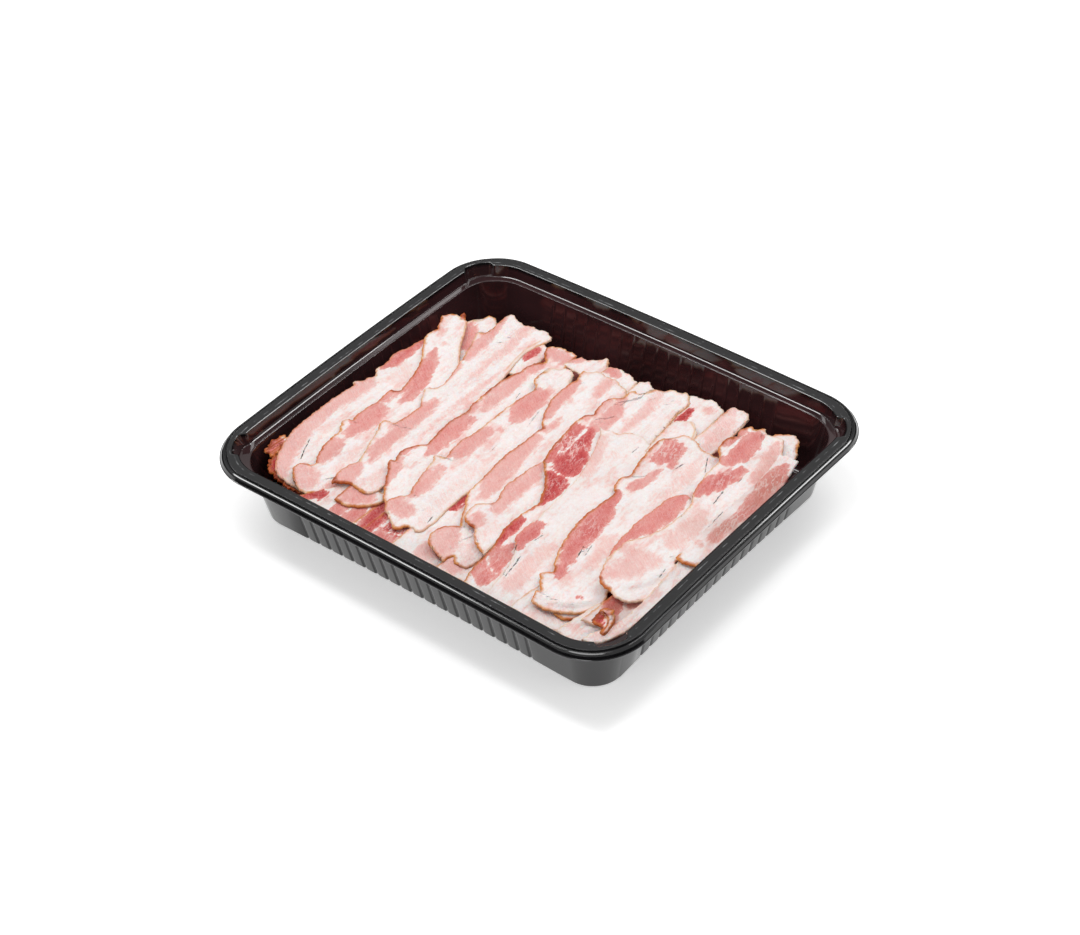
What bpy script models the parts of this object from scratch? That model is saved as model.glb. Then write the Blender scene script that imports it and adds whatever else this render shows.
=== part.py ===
"""Catering pack of streaky bacon: an open black moulded tray with shingled slices.

Frame: metres, +Z up, origin at the bottom centre. X runs along the tray's long side,
Y along its short side, which is also the way the slices lie. The sizes below are in
millimetres and turned into metres when the meshes are made.
"""
import math
import random

import bmesh
import bpy

MM = 0.001

# ---- Tray ----
TRAY_LONG = 260.6
TRAY_SHORT = 230.0
TRAY_HEIGHT = 42.7
CORNER_RADIUS = 31.4
RADIUS_LOSS = 0.8      # how fast the corner radius falls with the inset
WALL = 0.8
RIM_CROWN = 1.9        # the corners of the rim sit this much lower than its mid-sides
BASE_BOW = 1.4         # the sides of the base bow in by this much
BASE_INSET = 19.7      # outer face, at the base
SKIRT_DEPTH = 2.9
LEDGE_DEPTH = 7.0      # the inner step under the rim
RIB_PITCH = 7.9
RIB_DEPTH = 1.0
RIBS_LONG = 20
RIBS_SHORT = 17
POCKET_DEPTH = 3.0     # denesting pocket in each corner
SIDE_STEPS = 6
CORNER_STEPS = 8

# ---- Bacon ----
SLICE_THICKNESS = 2.2
LAYER_STEP = 2.6       # a slice and the gap above it
FIRST_EDGE = -109.0    # left edge of the first slice
EDGE_PITCH = 17.8      # mean distance between the left edges of neighbours
EDGE_LEVEL = 34.6      # height of the left edges' upper faces
ROWS_PER_MM = 0.085
SLICE_COLUMNS = 4


def smooth(value):
    """Ease from 0 to 1."""
    value = min(max(value, 0.0), 1.0)
    return value * value * (3.0 - 2.0 * value)


def clear_scene():
    for item in list(bpy.data.objects):
        bpy.data.objects.remove(item, do_unlink=True)


def make_material(name, colour, roughness):
    material = bpy.data.materials.new(name)
    material.use_nodes = True
    shader = material.node_tree.nodes["Principled BSDF"]
    shader.inputs["Base Color"].default_value = (*colour, 1.0)
    shader.inputs["Roughness"].default_value = roughness
    shader.inputs["Metallic"].default_value = 0.0
    return material


def make_object(name, vertices, faces, material):
    """Make one closed mesh object from millimetre points."""
    mesh = bpy.data.meshes.new(name)
    mesh.from_pydata([(x * MM, y * MM, z * MM) for x, y, z in vertices], [], faces)
    edit = bmesh.new()
    edit.from_mesh(mesh)
    bmesh.ops.recalc_face_normals(edit, faces=edit.faces)
    edit.to_mesh(mesh)
    edit.free()
    mesh.materials.append(material)
    mesh.shade_smooth()
    mesh.set_sharp_from_angle(angle=math.radians(35))
    item = bpy.data.objects.new(name, mesh)
    bpy.context.scene.collection.objects.link(item)
    return item


# ---- Tray ----

def side_fractions(ribs, side_length, ribbed):
    """Places along one straight side, 0 to 1, and the rib height at each."""
    if not ribbed:
        return [(step / SIDE_STEPS, 0.0) for step in range(SIDE_STEPS)]
    places = [(0.0, 0.0)]
    start = 0.5 - 0.5 * ribs * RIB_PITCH / side_length
    for step in range(2 * ribs + 1):
        crest = 1.0 if step % 2 else 0.0
        places.append((start + 0.5 * step * RIB_PITCH / side_length, crest))
    return places


def tray_ring(inset, depth, ribbed=False, pocket=0.0, at_base=0.0):
    """One closed loop of the tray: a rounded rectangle, as (key, point) pairs.

    The key grows round the loop, 0 to 8, so that loops with different numbers of
    points can be joined.
    """
    half_x = TRAY_LONG / 2 - inset
    half_y = TRAY_SHORT / 2 - inset
    radius = CORNER_RADIUS - RADIUS_LOSS * inset
    corners = ((1, -1, -90), (1, 1, 0), (-1, 1, 90), (-1, -1, 180))
    ring = []
    for number, (sign_x, sign_y, start) in enumerate(corners):
        centre_x = sign_x * (half_x - radius)
        centre_y = sign_y * (half_y - radius)
        for step in range(CORNER_STEPS):
            part = step / CORNER_STEPS
            angle = math.radians(start + 90 * part)
            push = pocket * smooth(2.2 - 5.0 * abs(part - 0.5))
            reach = radius + push
            point = (centre_x + reach * math.cos(angle), centre_y + reach * math.sin(angle))
            ring.append((2 * number + part, point))
        upright = number % 2 == 0
        sign = sign_x if upright else sign_y
        half_run = (half_y if upright else half_x) - radius
        ribs = RIBS_SHORT if upright else RIBS_LONG
        level = half_x if upright else half_y
        for part, crest in side_fractions(ribs, 2 * half_run, ribbed):
            along = sign * half_run * (2 * part - 1)
            out = level + (crest - 0.5 if ribbed and part > 0 else 0.0) * RIB_DEPTH
            out -= at_base * BASE_BOW * (1 - (2 * part - 1) ** 2)
            point = (sign * out, along) if upright else (-along, sign * out)
            ring.append((2 * number + 1 + part, point))
    placed = []
    for key, (x, y) in ring:
        corner = min(abs(x) / (TRAY_LONG / 2), abs(y) / (TRAY_SHORT / 2))
        drop = depth + (1 - at_base) * RIM_CROWN * corner ** 2
        placed.append((key, (x, y, TRAY_HEIGHT - drop)))
    return placed


def join_rings(first, second, first_start, second_start):
    """Triangles between two loops, walking round both in step."""
    faces = []
    i = 0
    j = 0
    while i < len(first) or j < len(second):
        next_i = first[i + 1][0] if i + 1 < len(first) else 8.0
        next_j = second[j + 1][0] if j + 1 < len(second) else 8.0
        here = first_start + i % len(first)
        there = second_start + j % len(second)
        if j >= len(second) or (i < len(first) and next_i <= next_j):
            faces.append((here, first_start + (i + 1) % len(first), there))
            i += 1
        else:
            faces.append((here, second_start + (j + 1) % len(second), there))
            j += 1
    return faces


def wall_inset(depth, face):
    """Inset of the lower wall at a depth; face is 0 outside, 1 inside."""
    top = 12.9
    foot = BASE_INSET
    part = (depth - LEDGE_DEPTH) / (TRAY_HEIGHT - LEDGE_DEPTH)
    return top + (foot - top) * part + WALL * face


def tray_rings():
    """All loops in order: down the inside from the skirt, then back up the outside."""
    deep = TRAY_HEIGHT - WALL
    inside = [
        tray_ring(0.0, SKIRT_DEPTH),
        tray_ring(0.0, 1.6),
        tray_ring(0.4, 1.25),
        tray_ring(2.2, 1.2),
        tray_ring(2.9, 0.5),
        tray_ring(4.0, 0.0),
        tray_ring(8.9, 0.0, pocket=0.7 * POCKET_DEPTH),
        tray_ring(9.6, 0.7, pocket=POCKET_DEPTH),
        tray_ring(10.3, LEDGE_DEPTH - 0.6, pocket=POCKET_DEPTH),
        tray_ring(10.8, LEDGE_DEPTH, pocket=0.6 * POCKET_DEPTH),
        tray_ring(13.1, LEDGE_DEPTH),
        tray_ring(wall_inset(9.0, 1), 9.0, at_base=0.05),
        tray_ring(wall_inset(11.0, 1), 11.0, ribbed=True, at_base=0.1),
        tray_ring(wall_inset(38.0, 1), 38.0, ribbed=True, at_base=0.9),
        tray_ring(wall_inset(40.0, 1) + 0.6, 40.0, at_base=0.95),
        tray_ring(BASE_INSET + 3.6, deep, at_base=1.0),
    ]
    outside = [
        tray_ring(BASE_INSET + 2.6, TRAY_HEIGHT, at_base=1.0),
        tray_ring(BASE_INSET + 0.3, TRAY_HEIGHT - 1.4, at_base=1.0),
        tray_ring(wall_inset(38.5, 0), 38.5, ribbed=True, at_base=0.9),
        tray_ring(wall_inset(11.5, 0), 11.5, ribbed=True, at_base=0.1),
        tray_ring(wall_inset(9.5, 0), 9.5, at_base=0.05),
        tray_ring(12.3, LEDGE_DEPTH + WALL),
        tray_ring(9.9, LEDGE_DEPTH + WALL, pocket=0.6 * POCKET_DEPTH),
        tray_ring(9.4, LEDGE_DEPTH - 0.2, pocket=POCKET_DEPTH),
        tray_ring(8.8, 1.1, pocket=POCKET_DEPTH),
        tray_ring(8.2, WALL, pocket=0.7 * POCKET_DEPTH),
        tray_ring(4.3, WALL),
        tray_ring(3.0, 2.0),
        tray_ring(WALL, 2.05),
        tray_ring(WALL, SKIRT_DEPTH),
    ]
    return inside, outside


def make_tray(material):
    inside, outside = tray_rings()
    rings = inside + outside
    starts = []
    vertices = []
    for ring in rings:
        starts.append(len(vertices))
        vertices.extend(point for _, point in ring)
    faces = []
    floor = len(inside) - 1
    for number in range(len(rings)):
        following = (number + 1) % len(rings)
        if number != floor:
            faces += join_rings(rings[number], rings[following], starts[number], starts[following])
    for number in (floor, floor + 1):
        height = rings[number][0][1][2]
        centre = len(vertices)
        vertices.append((0.0, 0.0, height))
        count = len(rings[number])
        start = starts[number]
        faces += [(start + i, start + (i + 1) % count, centre) for i in range(count)]
    return make_object("tray", vertices, faces, material)


# ---- Bacon ----

def heap_height(x, y):
    """Upper surface through the slices' left edges: a low, uneven heap."""
    along = y / 100.0
    rise = 0.8 * math.sin(x / 37.0 + 0.6) + 0.5 * math.sin(x / 16.0 - y / 45.0)
    droop = 2.2 * smooth((abs(along) - 0.45) / 0.55)
    return EDGE_LEVEL + rise - droop


def slice_height(x, y, layer):
    """Upper face of a slice in a layer. All layers are copies of one tilted sheet."""
    tilt = LAYER_STEP * (1.0 + (x - FIRST_EDGE) / EDGE_PITCH)
    return heap_height(x, y) + layer * LAYER_STEP - tilt


def read_curve(stations, y):
    """Smooth value at y through (y, value) stations sorted by y."""
    if y <= stations[0][0]:
        return stations[0][1]
    for (low, first), (high, second) in zip(stations, stations[1:]):
        if y <= high:
            return first + (second - first) * smooth((y - low) / (high - low))
    return stations[-1][1]


def make_slice(name, layer, stations, material, columns=SLICE_COLUMNS, skew=0.0):
    """A slice from stations (y, centre x, width), foot first, with rounded ragged ends."""
    rng = random.Random(name)
    foot = stations[0][0]
    head = stations[-1][0]
    centres = [(y, x) for y, x, _ in stations]
    widths = [(y, width) for y, _, width in stations]
    rows = max(3, round((head - foot) * ROWS_PER_MM))
    end_round = min(9.0, 0.35 * (head - foot))
    upper = []
    for row in range(rows + 1):
        part = row / rows
        y = foot + (head - foot) * part
        to_end = min(y - foot, head - y)
        narrow = 1.0 - 0.28 * (1.0 - min(to_end / end_round, 1.0)) ** 2
        half = 0.5 * read_curve(widths, y) * narrow
        middle = read_curve(centres, y)
        for column in range(columns + 1):
            across = 2.0 * column / columns - 1.0
            at_end = row in (0, rows)
            at_edge = column in (0, columns)
            arch = (2.6 * across * across - 1.2) if at_end else 0.0
            shift_y = arch if row == 0 else -arch
            x = middle + half * across + (rng.uniform(-0.6, 0.6) if at_edge else 0.0)
            place_y = y + shift_y + skew * across * (1.0 - part)
            upper.append((x, place_y, slice_height(x, place_y, layer)))
    lower = [(x, y, z - SLICE_THICKNESS) for x, y, z in upper]
    faces = []
    wide = columns + 1
    count = len(upper)
    for row in range(rows):
        for column in range(columns):
            a = row * wide + column
            faces.append((a, a + 1, a + wide + 1, a + wide))
            faces.append((count + a, count + a + wide, count + a + wide + 1, count + a + 1))
    border = [column for column in range(columns)]
    border += [row * wide + columns for row in range(rows)]
    border += [rows * wide + column for column in range(columns, 0, -1)]
    border += [row * wide for row in range(rows, 0, -1)]
    for here, there in zip(border, border[1:] + border[:1]):
        faces.append((here, count + here, count + there, there))
    return make_object(name, upper + lower, faces, material)


# Main slices, left to right, each lying over the one before.
# Each is its layer, the skew of its foot, and its stations (y, centre x, width).
MAIN_SLICES = (
    (1, 0, ((-96, -85, 30), (-60, -92, 36), (-30, -93, 36), (0, -91, 36), (37, -94, 24))),
    (2, 0, ((-96, -74, 30), (-60, -72, 36), (-33, -74, 36), (-3, -71, 34), (10, -76, 34),
            (36, -97, 20), (61, -103, 16))),
    (3, 0, ((-81, -57, 24), (-58, -56, 24), (-33, -61, 29), (12, -61, 24), (40, -66, 30),
            (78, -67, 32))),
    (4, -3, ((-79, -32, 18), (-60, -33, 32), (-45, -36, 34), (-28, -31, 34), (40, -31, 32),
             (71, -38, 18))),
    (5, 0, ((-88, -19, 28), (-55, -19, 28), (-37, -20, 33), (0, -17, 33), (28, -16, 32),
            (43, -25, 26), (59, -28, 17))),
    (6, 0, ((-94, 15, 29), (-80, 15, 30), (-58, 12, 26), (-38, 8, 30), (12, 7, 32),
            (40, -3, 33), (66, -4, 28))),
    (7, -8, ((-72, 17, 27), (-57, 16, 27), (-42, 21, 25), (-20, 20, 27), (8, 22, 26))),
    (8, 0, ((-96.5, 50, 28), (-85, 47, 34), (-58, 41, 32), (-35, 42, 30), (-8, 27, 36),
            (40, 25, 40), (57, 27, 33), (78, 31, 22))),
    (9, 0, ((-96.5, 58, 24), (-78, 57, 28), (-60, 49, 32), (-5, 46, 32), (12, 40, 30),
            (36, 32, 28))),
    (10, 4, ((-92, 80, 29), (-74, 79, 36), (-63, 77, 34), (-38, 68, 34), (0, 69, 34),
             (30, 63, 34), (51, 60, 25))),
    (11, 0, ((-55, 95, 24), (-45, 93, 30), (-18, 90, 32), (14, 88, 24))),
    (12, 0, ((-66, 98, 28), (-45, 96, 34), (-28, 95, 30), (2, 102, 23), (33, 96.5, 33),
             (57, 90, 34), (77, 86, 22))),
    (13, 0, ((-27, 108, 10), (0, 108.4, 10.4), (40, 108.4, 10.4), (68, 105, 13))),
)

# Parts of further slices that show past the ends of the main ones.
EDGE_SLICES = (
    ("far_slice_1", 1, ((39, -84, 15), (72, -88, 10))),
    ("far_slice_2", 1, ((50, -100, 10), (66, -101, 7))),
    ("far_slice_3", 2, ((40, -50, 12), (70, -49, 12))),
    ("far_slice_4", 4, ((62, -19, 20), (77, -18, 15))),
    ("far_slice_5", 5, ((60.5, -1, 21), (74, 0, 18))),
    ("far_slice_6", 5, ((58, 17, 12), (75, 16, 10))),
    ("far_slice_7", 7, ((42, 51, 20), (81, 50, 17))),
    ("far_slice_8", 9, ((39, 51, 10), (61, 51, 10))),
    ("far_slice_9", 9, ((42, 66, 15), (84, 67, 14))),
    ("far_slice_10", 11, ((55, 100, 21), (83, 99, 15))),
    ("near_slice_1", 2, ((-93, -47, 18), (-76, -46, 16))),
    ("near_slice_2", 1, ((-96, -42, 24), (-68, -42, 24))),
    ("near_slice_3", 3, ((-96, -20, 16), (-74, -20, 16))),
    ("near_slice_4", 4, ((-95, 2, 24), (-74, 2, 24))),
    ("near_slice_5", 5, ((-95, 24, 17), (-74, 24, 17))),
    ("near_slice_6", 8, ((-95, 84, 25), (-72, 84, 26))),
    ("near_slice_7", 9, ((-93, 89, 18), (-72, 89, 17))),
    ("near_slice_8", 10, ((-84, 105, 12), (-56, 105, 13))),
    ("near_slice_9", 8, ((-91, 104, 9), (-74, 104, 10))),
    ("near_slice_10", 11, ((-78, 111.5, 4), (-56, 112, 4))),
    ("curled_scrap", 11, ((-91, 104, 10), (-74, 104, 10))),
    ("left_scrap_1", 0, ((-86, -107, 8), (-70, -109, 7))),
    ("left_scrap_2", 0, ((-95, -95, 15), (-84, -95, 17))),
)

EDGE_COLUMNS = 2


def make_core(material):
    """The hidden slices underneath, as one block with the same tilted upper face."""
    columns = 10
    rows = 6
    left, right, front, back = -100.0, 106.0, -88.0, 82.0
    corner = 12.0
    depth_below = LAYER_STEP * 6.2
    points = []
    for row in range(rows + 1):
        y = front + (back - front) * row / rows
        edge = min(row, rows - row) == 0
        for column in range(columns + 1):
            pull = corner if edge else 0.0
            x = left + pull + (right - left - 2 * pull) * column / columns
            points.append((x, y, heap_height(x, y) - depth_below))
    floor = WALL + 0.4
    taper = 0.94
    lower = [(x * taper, y * taper, floor) for x, y, _ in points]
    wide = columns + 1
    count = len(points)
    faces = []
    for row in range(rows):
        for column in range(columns):
            a = row * wide + column
            faces.append((a, a + 1, a + wide + 1, a + wide))
            faces.append((count + a, count + a + wide, count + a + wide + 1, count + a + 1))
    border = [column for column in range(columns)]
    border += [row * wide + columns for row in range(rows)]
    border += [rows * wide + column for column in range(columns, 0, -1)]
    border += [row * wide for row in range(rows, 0, -1)]
    for here, there in zip(border, border[1:] + border[:1]):
        faces.append((here, count + here, count + there, there))
    return make_object("hidden_stack", points + lower, faces, material)


def build():
    clear_scene()
    plastic = make_material("black moulded plastic", (0.018, 0.018, 0.019), 0.3)
    bacon = make_material("raw smoked bacon", (0.78, 0.45, 0.42), 0.45)
    shaded = make_material("raw bacon in shade", (0.55, 0.2, 0.17), 0.5)
    make_tray(plastic)
    make_core(shaded)
    for number, (layer, skew, stations) in enumerate(MAIN_SLICES, start=1):
        make_slice(f"slice_{number}", layer, stations, bacon, skew=skew)
    for name, layer, stations in EDGE_SLICES:
        make_slice(name, layer, stations, bacon, columns=EDGE_COLUMNS)


build()
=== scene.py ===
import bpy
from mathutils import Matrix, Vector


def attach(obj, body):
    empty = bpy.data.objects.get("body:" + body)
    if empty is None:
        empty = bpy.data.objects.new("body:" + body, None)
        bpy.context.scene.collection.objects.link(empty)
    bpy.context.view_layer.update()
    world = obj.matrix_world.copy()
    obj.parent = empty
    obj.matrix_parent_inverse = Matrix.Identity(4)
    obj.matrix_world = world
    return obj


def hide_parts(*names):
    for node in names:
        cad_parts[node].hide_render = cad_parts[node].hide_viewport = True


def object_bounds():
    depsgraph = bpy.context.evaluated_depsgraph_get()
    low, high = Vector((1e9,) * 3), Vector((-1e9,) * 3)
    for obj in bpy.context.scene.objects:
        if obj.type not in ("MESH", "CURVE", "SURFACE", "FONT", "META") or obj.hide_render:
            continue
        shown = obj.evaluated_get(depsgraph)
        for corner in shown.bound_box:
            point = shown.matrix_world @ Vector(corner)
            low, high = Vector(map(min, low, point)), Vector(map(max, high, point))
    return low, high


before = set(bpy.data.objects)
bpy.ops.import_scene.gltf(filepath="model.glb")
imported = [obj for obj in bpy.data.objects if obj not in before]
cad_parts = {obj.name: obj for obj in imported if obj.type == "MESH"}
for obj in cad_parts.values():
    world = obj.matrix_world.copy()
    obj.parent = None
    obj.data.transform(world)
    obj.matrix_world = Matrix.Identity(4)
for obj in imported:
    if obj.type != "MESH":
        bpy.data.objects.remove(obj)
cad_box = [list(corner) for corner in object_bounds()]

import math

import bpy
import numpy as np
from mathutils import Matrix, Vector

MM = 0.001

# ---- Tray, in millimetres ----
LOW, HIGH = cad_box
TRAY_LONG = (HIGH[0] - LOW[0]) / MM
TRAY_SHORT = (HIGH[1] - LOW[1]) / MM
TRAY_HEIGHT = (HIGH[2] - LOW[2]) / MM
CORNER_RADIUS = 31.4
RADIUS_LOSS = 0.8       # how fast the corner radius falls with the inset
RIM_CROWN = 1.9         # the corners of the rim sit this much lower than its mid-sides
BASE_BOW = 1.4          # the sides of the base bow in by this much
LEDGE_DEPTH = 7.0
RIB_PITCH = 7.9
RIB_DEPTH = 0.8
RIBS_LONG = 20
RIBS_SHORT = 17
RIB_STEPS = (0.0, 0.05, 0.1, 0.2, 0.31, 0.38, 0.95)   # points along the wall for each rib
CORNER_STEPS = 32
FILLET_STEPS = 4
GUARD = 0.07            # gap from a fillet to the extra point on the flat beside it
POCKET_DEPTH = 3.6      # denesting pocket in each corner
POCKET_REACH = 0.22     # half of a pocket's share of the corner

# ---- Bacon, in millimetres ----
SLICE_THICKNESS = 2.2
LAYER_STEP = 2.6        # a slice and the gap above it
FIRST_EDGE = -109.0
EDGE_PITCH = 17.8
EDGE_LEVEL = 34.6
EDGE_THICKNESS = 1.3    # slices thin out towards their edges
EDGE_ROUND = 0.6        # radius of a slice's soft edges
CELL = 0.85             # spacing of the points on a slice
SLIDE = np.array((-0.77, 0.9))    # slices sag back this way, per millimetre they dip


# ---- Small tools ----

def linear(code):
    """A linear colour from sRGB hex."""
    parts = [int(code[i:i + 2], 16) / 255 for i in (0, 2, 4)]
    return [p / 12.92 if p <= 0.04045 else ((p + 0.055) / 1.055) ** 2.4 for p in parts] + [1.0]


def smooth(value):
    value = np.clip(value, 0.0, 1.0)
    return value * value * (3.0 - 2.0 * value)


def make_piece(name, points, faces, material, fields=None):
    """A mesh piece from millimetre points; fields are named numbers or vectors per point."""
    mesh = bpy.data.meshes.new(name)
    mesh.from_pydata((np.asarray(points) * MM).tolist(), [], faces)
    for field, values in (fields or {}).items():
        values = np.asarray(values, np.float32)
        kind = "FLOAT_VECTOR" if values.ndim == 2 else "FLOAT"
        store = mesh.attributes.new(field, kind, "POINT")
        store.data.foreach_set("vector" if values.ndim == 2 else "value", values.ravel())
    mesh.materials.append(material)
    mesh.shade_smooth()
    piece = bpy.data.objects.new(name, mesh)
    bpy.context.scene.collection.objects.link(piece)
    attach(piece, "root")
    return piece


def add(tree, kind, inputs=(), out=0, stops=(), **settings):
    """Add a shader node with its settings and links, and give back one of its outputs."""
    node = tree.nodes.new("ShaderNode" + kind)
    for key, value in settings.items():
        setattr(node, key, value)
    pairs = inputs.items() if isinstance(inputs, dict) else enumerate(inputs)
    for key, value in pairs:
        if isinstance(value, bpy.types.NodeSocket):
            tree.links.new(value, node.inputs[key])
        elif value is not None:
            node.inputs[key].default_value = value
    for number, (place, colour) in enumerate(stops):
        ramp = node.color_ramp.elements
        stop = ramp[number] if number < 2 else ramp.new(place)
        stop.position = place
        stop.color = linear(colour)
    return node.outputs[out]


def new_material(name, roughness, ior):
    material = bpy.data.materials.new(name)
    material.use_nodes = True
    shader = material.node_tree.nodes["Principled BSDF"]
    shader.inputs["Roughness"].default_value = roughness
    shader.inputs["IOR"].default_value = ior
    return material, material.node_tree, shader


# ---- Tray shape ----

def rounded_path(corners, spacing):
    """Points along a polyline of (inset, depth, fillet radius) with its corners rounded. A
    point close to each fillet keeps the flat runs flat under smooth shading."""
    path = []
    for number, (inset, depth, radius) in enumerate(corners):
        here = np.array((inset, depth))
        if radius == 0:
            path.append(here)
            continue
        before = np.array(corners[number - 1][:2]) - here
        after = np.array(corners[number + 1][:2]) - here
        before /= np.linalg.norm(before)
        after /= np.linalg.norm(after)
        half = 0.5 * math.acos(np.clip(before @ after, -1, 1))
        run = radius / math.tan(half)
        middle = before + after
        centre = here + middle / np.linalg.norm(middle) * radius / math.sin(half)
        start = here + before * run - centre
        end = here + after * run - centre
        turn = math.pi - 2 * half
        path.append(centre + start + before * GUARD)
        steps = 1 if radius < 0.2 else FILLET_STEPS
        for step in range(steps + 1):
            part = step / steps
            mix = (start * math.sin((1 - part) * turn) + end * math.sin(part * turn)) / math.sin(turn)
            path.append(centre + mix)
        path.append(centre + end + after * GUARD)
    full = [path[0]]
    for first, second in zip(path, path[1:]):
        count = max(1, int(np.linalg.norm(second - first) / spacing))
        full += [first + (second - first) * (i + 1) / count for i in range(count)]
    return full


def ring_frame():
    """Places round the tray: (corner or side, its number, part along it), with extra places across each rib.
    """
    places = []
    for number in range(4):
        places += [("corner", number, step / CORNER_STEPS) for step in range(CORNER_STEPS)]
        upright = number % 2 == 0
        ribs = RIBS_SHORT if upright else RIBS_LONG
        long_run = (TRAY_SHORT if upright else TRAY_LONG) - 2 * CORNER_RADIUS
        ribbed = ribs * RIB_PITCH / long_run
        start = 0.5 - 0.5 * ribbed
        places += [("side", number, start * i / 2) for i in range(2)]
        places += [("side", number, start + ribbed * (i + step) / ribs)
                   for i in range(ribs) for step in RIB_STEPS]
        places.append(("side", number, start + ribbed))
        places.append(("side", number, 1 - start / 2))
    return places


def rib_wave(part, number):
    """Level of the ribbed wall along a side: flat panels between narrow grooves that are
    steep on one flank and gentle on the other."""
    upright = number % 2 == 0
    ribs = RIBS_SHORT if upright else RIBS_LONG
    long_run = (TRAY_SHORT if upright else TRAY_LONG) - 2 * CORNER_RADIUS
    place = (part - 0.5) * long_run / RIB_PITCH + ribs / 2
    if place <= 0 or place >= ribs:
        return 0.3
    across = place % 1.0
    return 0.3 - float(smooth(across / 0.1) * (1.0 - smooth((across - 0.09) / 0.27)))


def pocket_push(number, part, depth):
    """How far a corner's pocket is pushed out, at a part of the corner and a depth. The
    pockets sit nearer the tray's short sides."""
    middle = 0.65 if number % 2 == 0 else 0.35
    reach = abs(part - middle)
    wide = smooth((POCKET_REACH - reach) / 0.045)
    wide *= 0.6 + 0.4 * math.sqrt(max(0.0, 1.0 - (reach / POCKET_REACH) ** 2))
    shelf = 1.0 if depth < 3.4 else 1.0 - 0.45 * float(smooth((depth - 3.4) / 0.5))
    rise = float(smooth((7.4 - depth) / 0.8))
    return float(wide) * shelf * rise * POCKET_DEPTH


def tray_ring(places, inset, depth, face):
    """One loop of the tray wall; face is 1 inside and -1 outside."""
    half_x = TRAY_LONG / 2 - inset
    half_y = TRAY_SHORT / 2 - inset
    radius = max(CORNER_RADIUS - RADIUS_LOSS * inset, 0.35 * min(half_x, half_y) * 0.3)
    signs = ((1, -1), (1, 1), (-1, 1), (-1, -1))
    low = float(np.clip((depth - LEDGE_DEPTH) / (TRAY_HEIGHT - LEDGE_DEPTH), 0, 1))
    ribs = float(smooth((depth - 9.0) / 3.0)) * (0.35 + 0.65 * low) * RIB_DEPTH
    if depth > TRAY_HEIGHT - 1.0:
        ribs *= float(smooth((25.5 - inset) / 5.0))
    pocketed = 4.2 < inset <= 11.6 and depth < LEDGE_DEPTH + 1.0
    ramp = min(1.0, (inset - 4.2) / 4.0)
    ring = []
    for kind, number, part in places:
        sign_x, sign_y = signs[number]
        if kind == "corner":
            angle = math.radians(-90 + 90 * number + 90 * part)
            push = pocket_push(number, part, depth - (0.0 if face > 0 else 0.8)) if pocketed else 0.0
            reach = radius + push * ramp
            x = sign_x * (half_x - radius) + reach * math.cos(angle)
            y = sign_y * (half_y - radius) + reach * math.sin(angle)
        else:
            upright = number % 2 == 0
            sign = sign_x if upright else sign_y
            along = ((half_y if upright else half_x) - radius) * (2 * part - 1)
            out = (half_x if upright else half_y) + ribs * rib_wave(part, number)
            out -= low * BASE_BOW * (1 - (2 * part - 1) ** 2)
            x, y = (out, along) if upright else (-along, out)
            if sign < 0:
                x, y = -x, -y
        corner = min(abs(x) / (TRAY_LONG / 2), abs(y) / (TRAY_SHORT / 2))
        ring.append((x, y, TRAY_HEIGHT - depth - (1 - low) * RIM_CROWN * corner ** 2))
    return ring


def make_tray(material):
    deep = TRAY_HEIGHT - 0.8
    inside = rounded_path((
        (0.0, 3.3, 0), (0.0, 2.95, 0.08), (0.35, 2.8, 0.08), (1.1, 1.35, 0.1), (1.7, 0.85, 0.12),
        (2.35, 0.6, 0.1), (2.6, 0.6, 0.08), (2.85, 1.1, 0.08), (3.15, 1.1, 0.08), (3.75, 0.0, 0.12),
        (8.7, 0.0, 0.1), (9.2, 0.24, 0.12), (10.45, 6.6, 0.15), (11.0, 6.88, 0.1),
        (13.3, 6.9, 0.1), (13.9, 7.18, 0.2), (20.3, deep, 3.0), (40.0, deep, 0)), 4.5)
    outside = rounded_path((
        (40.0, TRAY_HEIGHT, 0), (19.6, TRAY_HEIGHT, 1.6), (12.8, 7.8, 0.9), (9.6, 7.8, 0.6),
        (8.3, 0.8, 0.5), (4.4, 0.8, 0.4), (3.4, 2.2, 0.19), (1.6, 2.7, 0.19), (0.6, 3.3, 0)), 4.5)
    places = ring_frame()
    count = len(places)
    rings = [(inset, depth, 1) for inset, depth in inside]
    rings += [(inset, depth, -1) for inset, depth in outside]
    points = []
    insets = []
    depths = []
    for inset, depth, face in rings:
        points += tray_ring(places, inset, depth, face)
        insets += [inset] * count
        depths += [depth] * count
    faces = []
    middle = len(inside) - 1
    for number in range(len(rings)):
        following = (number + 1) % len(rings)
        if number == middle:
            continue
        a, b = number * count, following * count
        for i in range(count):
            j = (i + 1) % count
            faces.append((a + i, a + j, b + j, b + i))
    for number, height in ((middle, TRAY_HEIGHT - deep), (middle + 1, 0.0)):
        start = number * count
        edge = np.array(points[start:start + count])
        for share in (0.66, 0.33):
            ring = edge * share
            ring[:, 2] = height
            new = len(points)
            points += ring.tolist()
            insets += [60.0] * count
            depths += [deep] * count
            for i in range(count):
                j = (i + 1) % count
                quad = (start + i, start + j, new + j, new + i)
                faces.append(quad if number == middle else quad[::-1])
            start = new
        hub = len(points)
        points.append((0.0, 0.0, height))
        insets.append(60.0)
        depths.append(deep)
        for i in range(count):
            j = (i + 1) % count
            faces.append((start + j, hub, start + i) if number == middle else (start + i, hub, start + j))
    inner = [1.0] * (len(inside) * count) + [0.0] * (len(outside) * count)
    inner += [1.0] * (2 * count + 1) + [0.0] * (2 * count + 1)
    fields = {"inset": insets, "depth": depths, "inner": inner}
    tray = make_piece("moulded_tray", points, faces, material, fields)
    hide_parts("tray")
    return tray


# ---- Bacon shape ----

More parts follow.
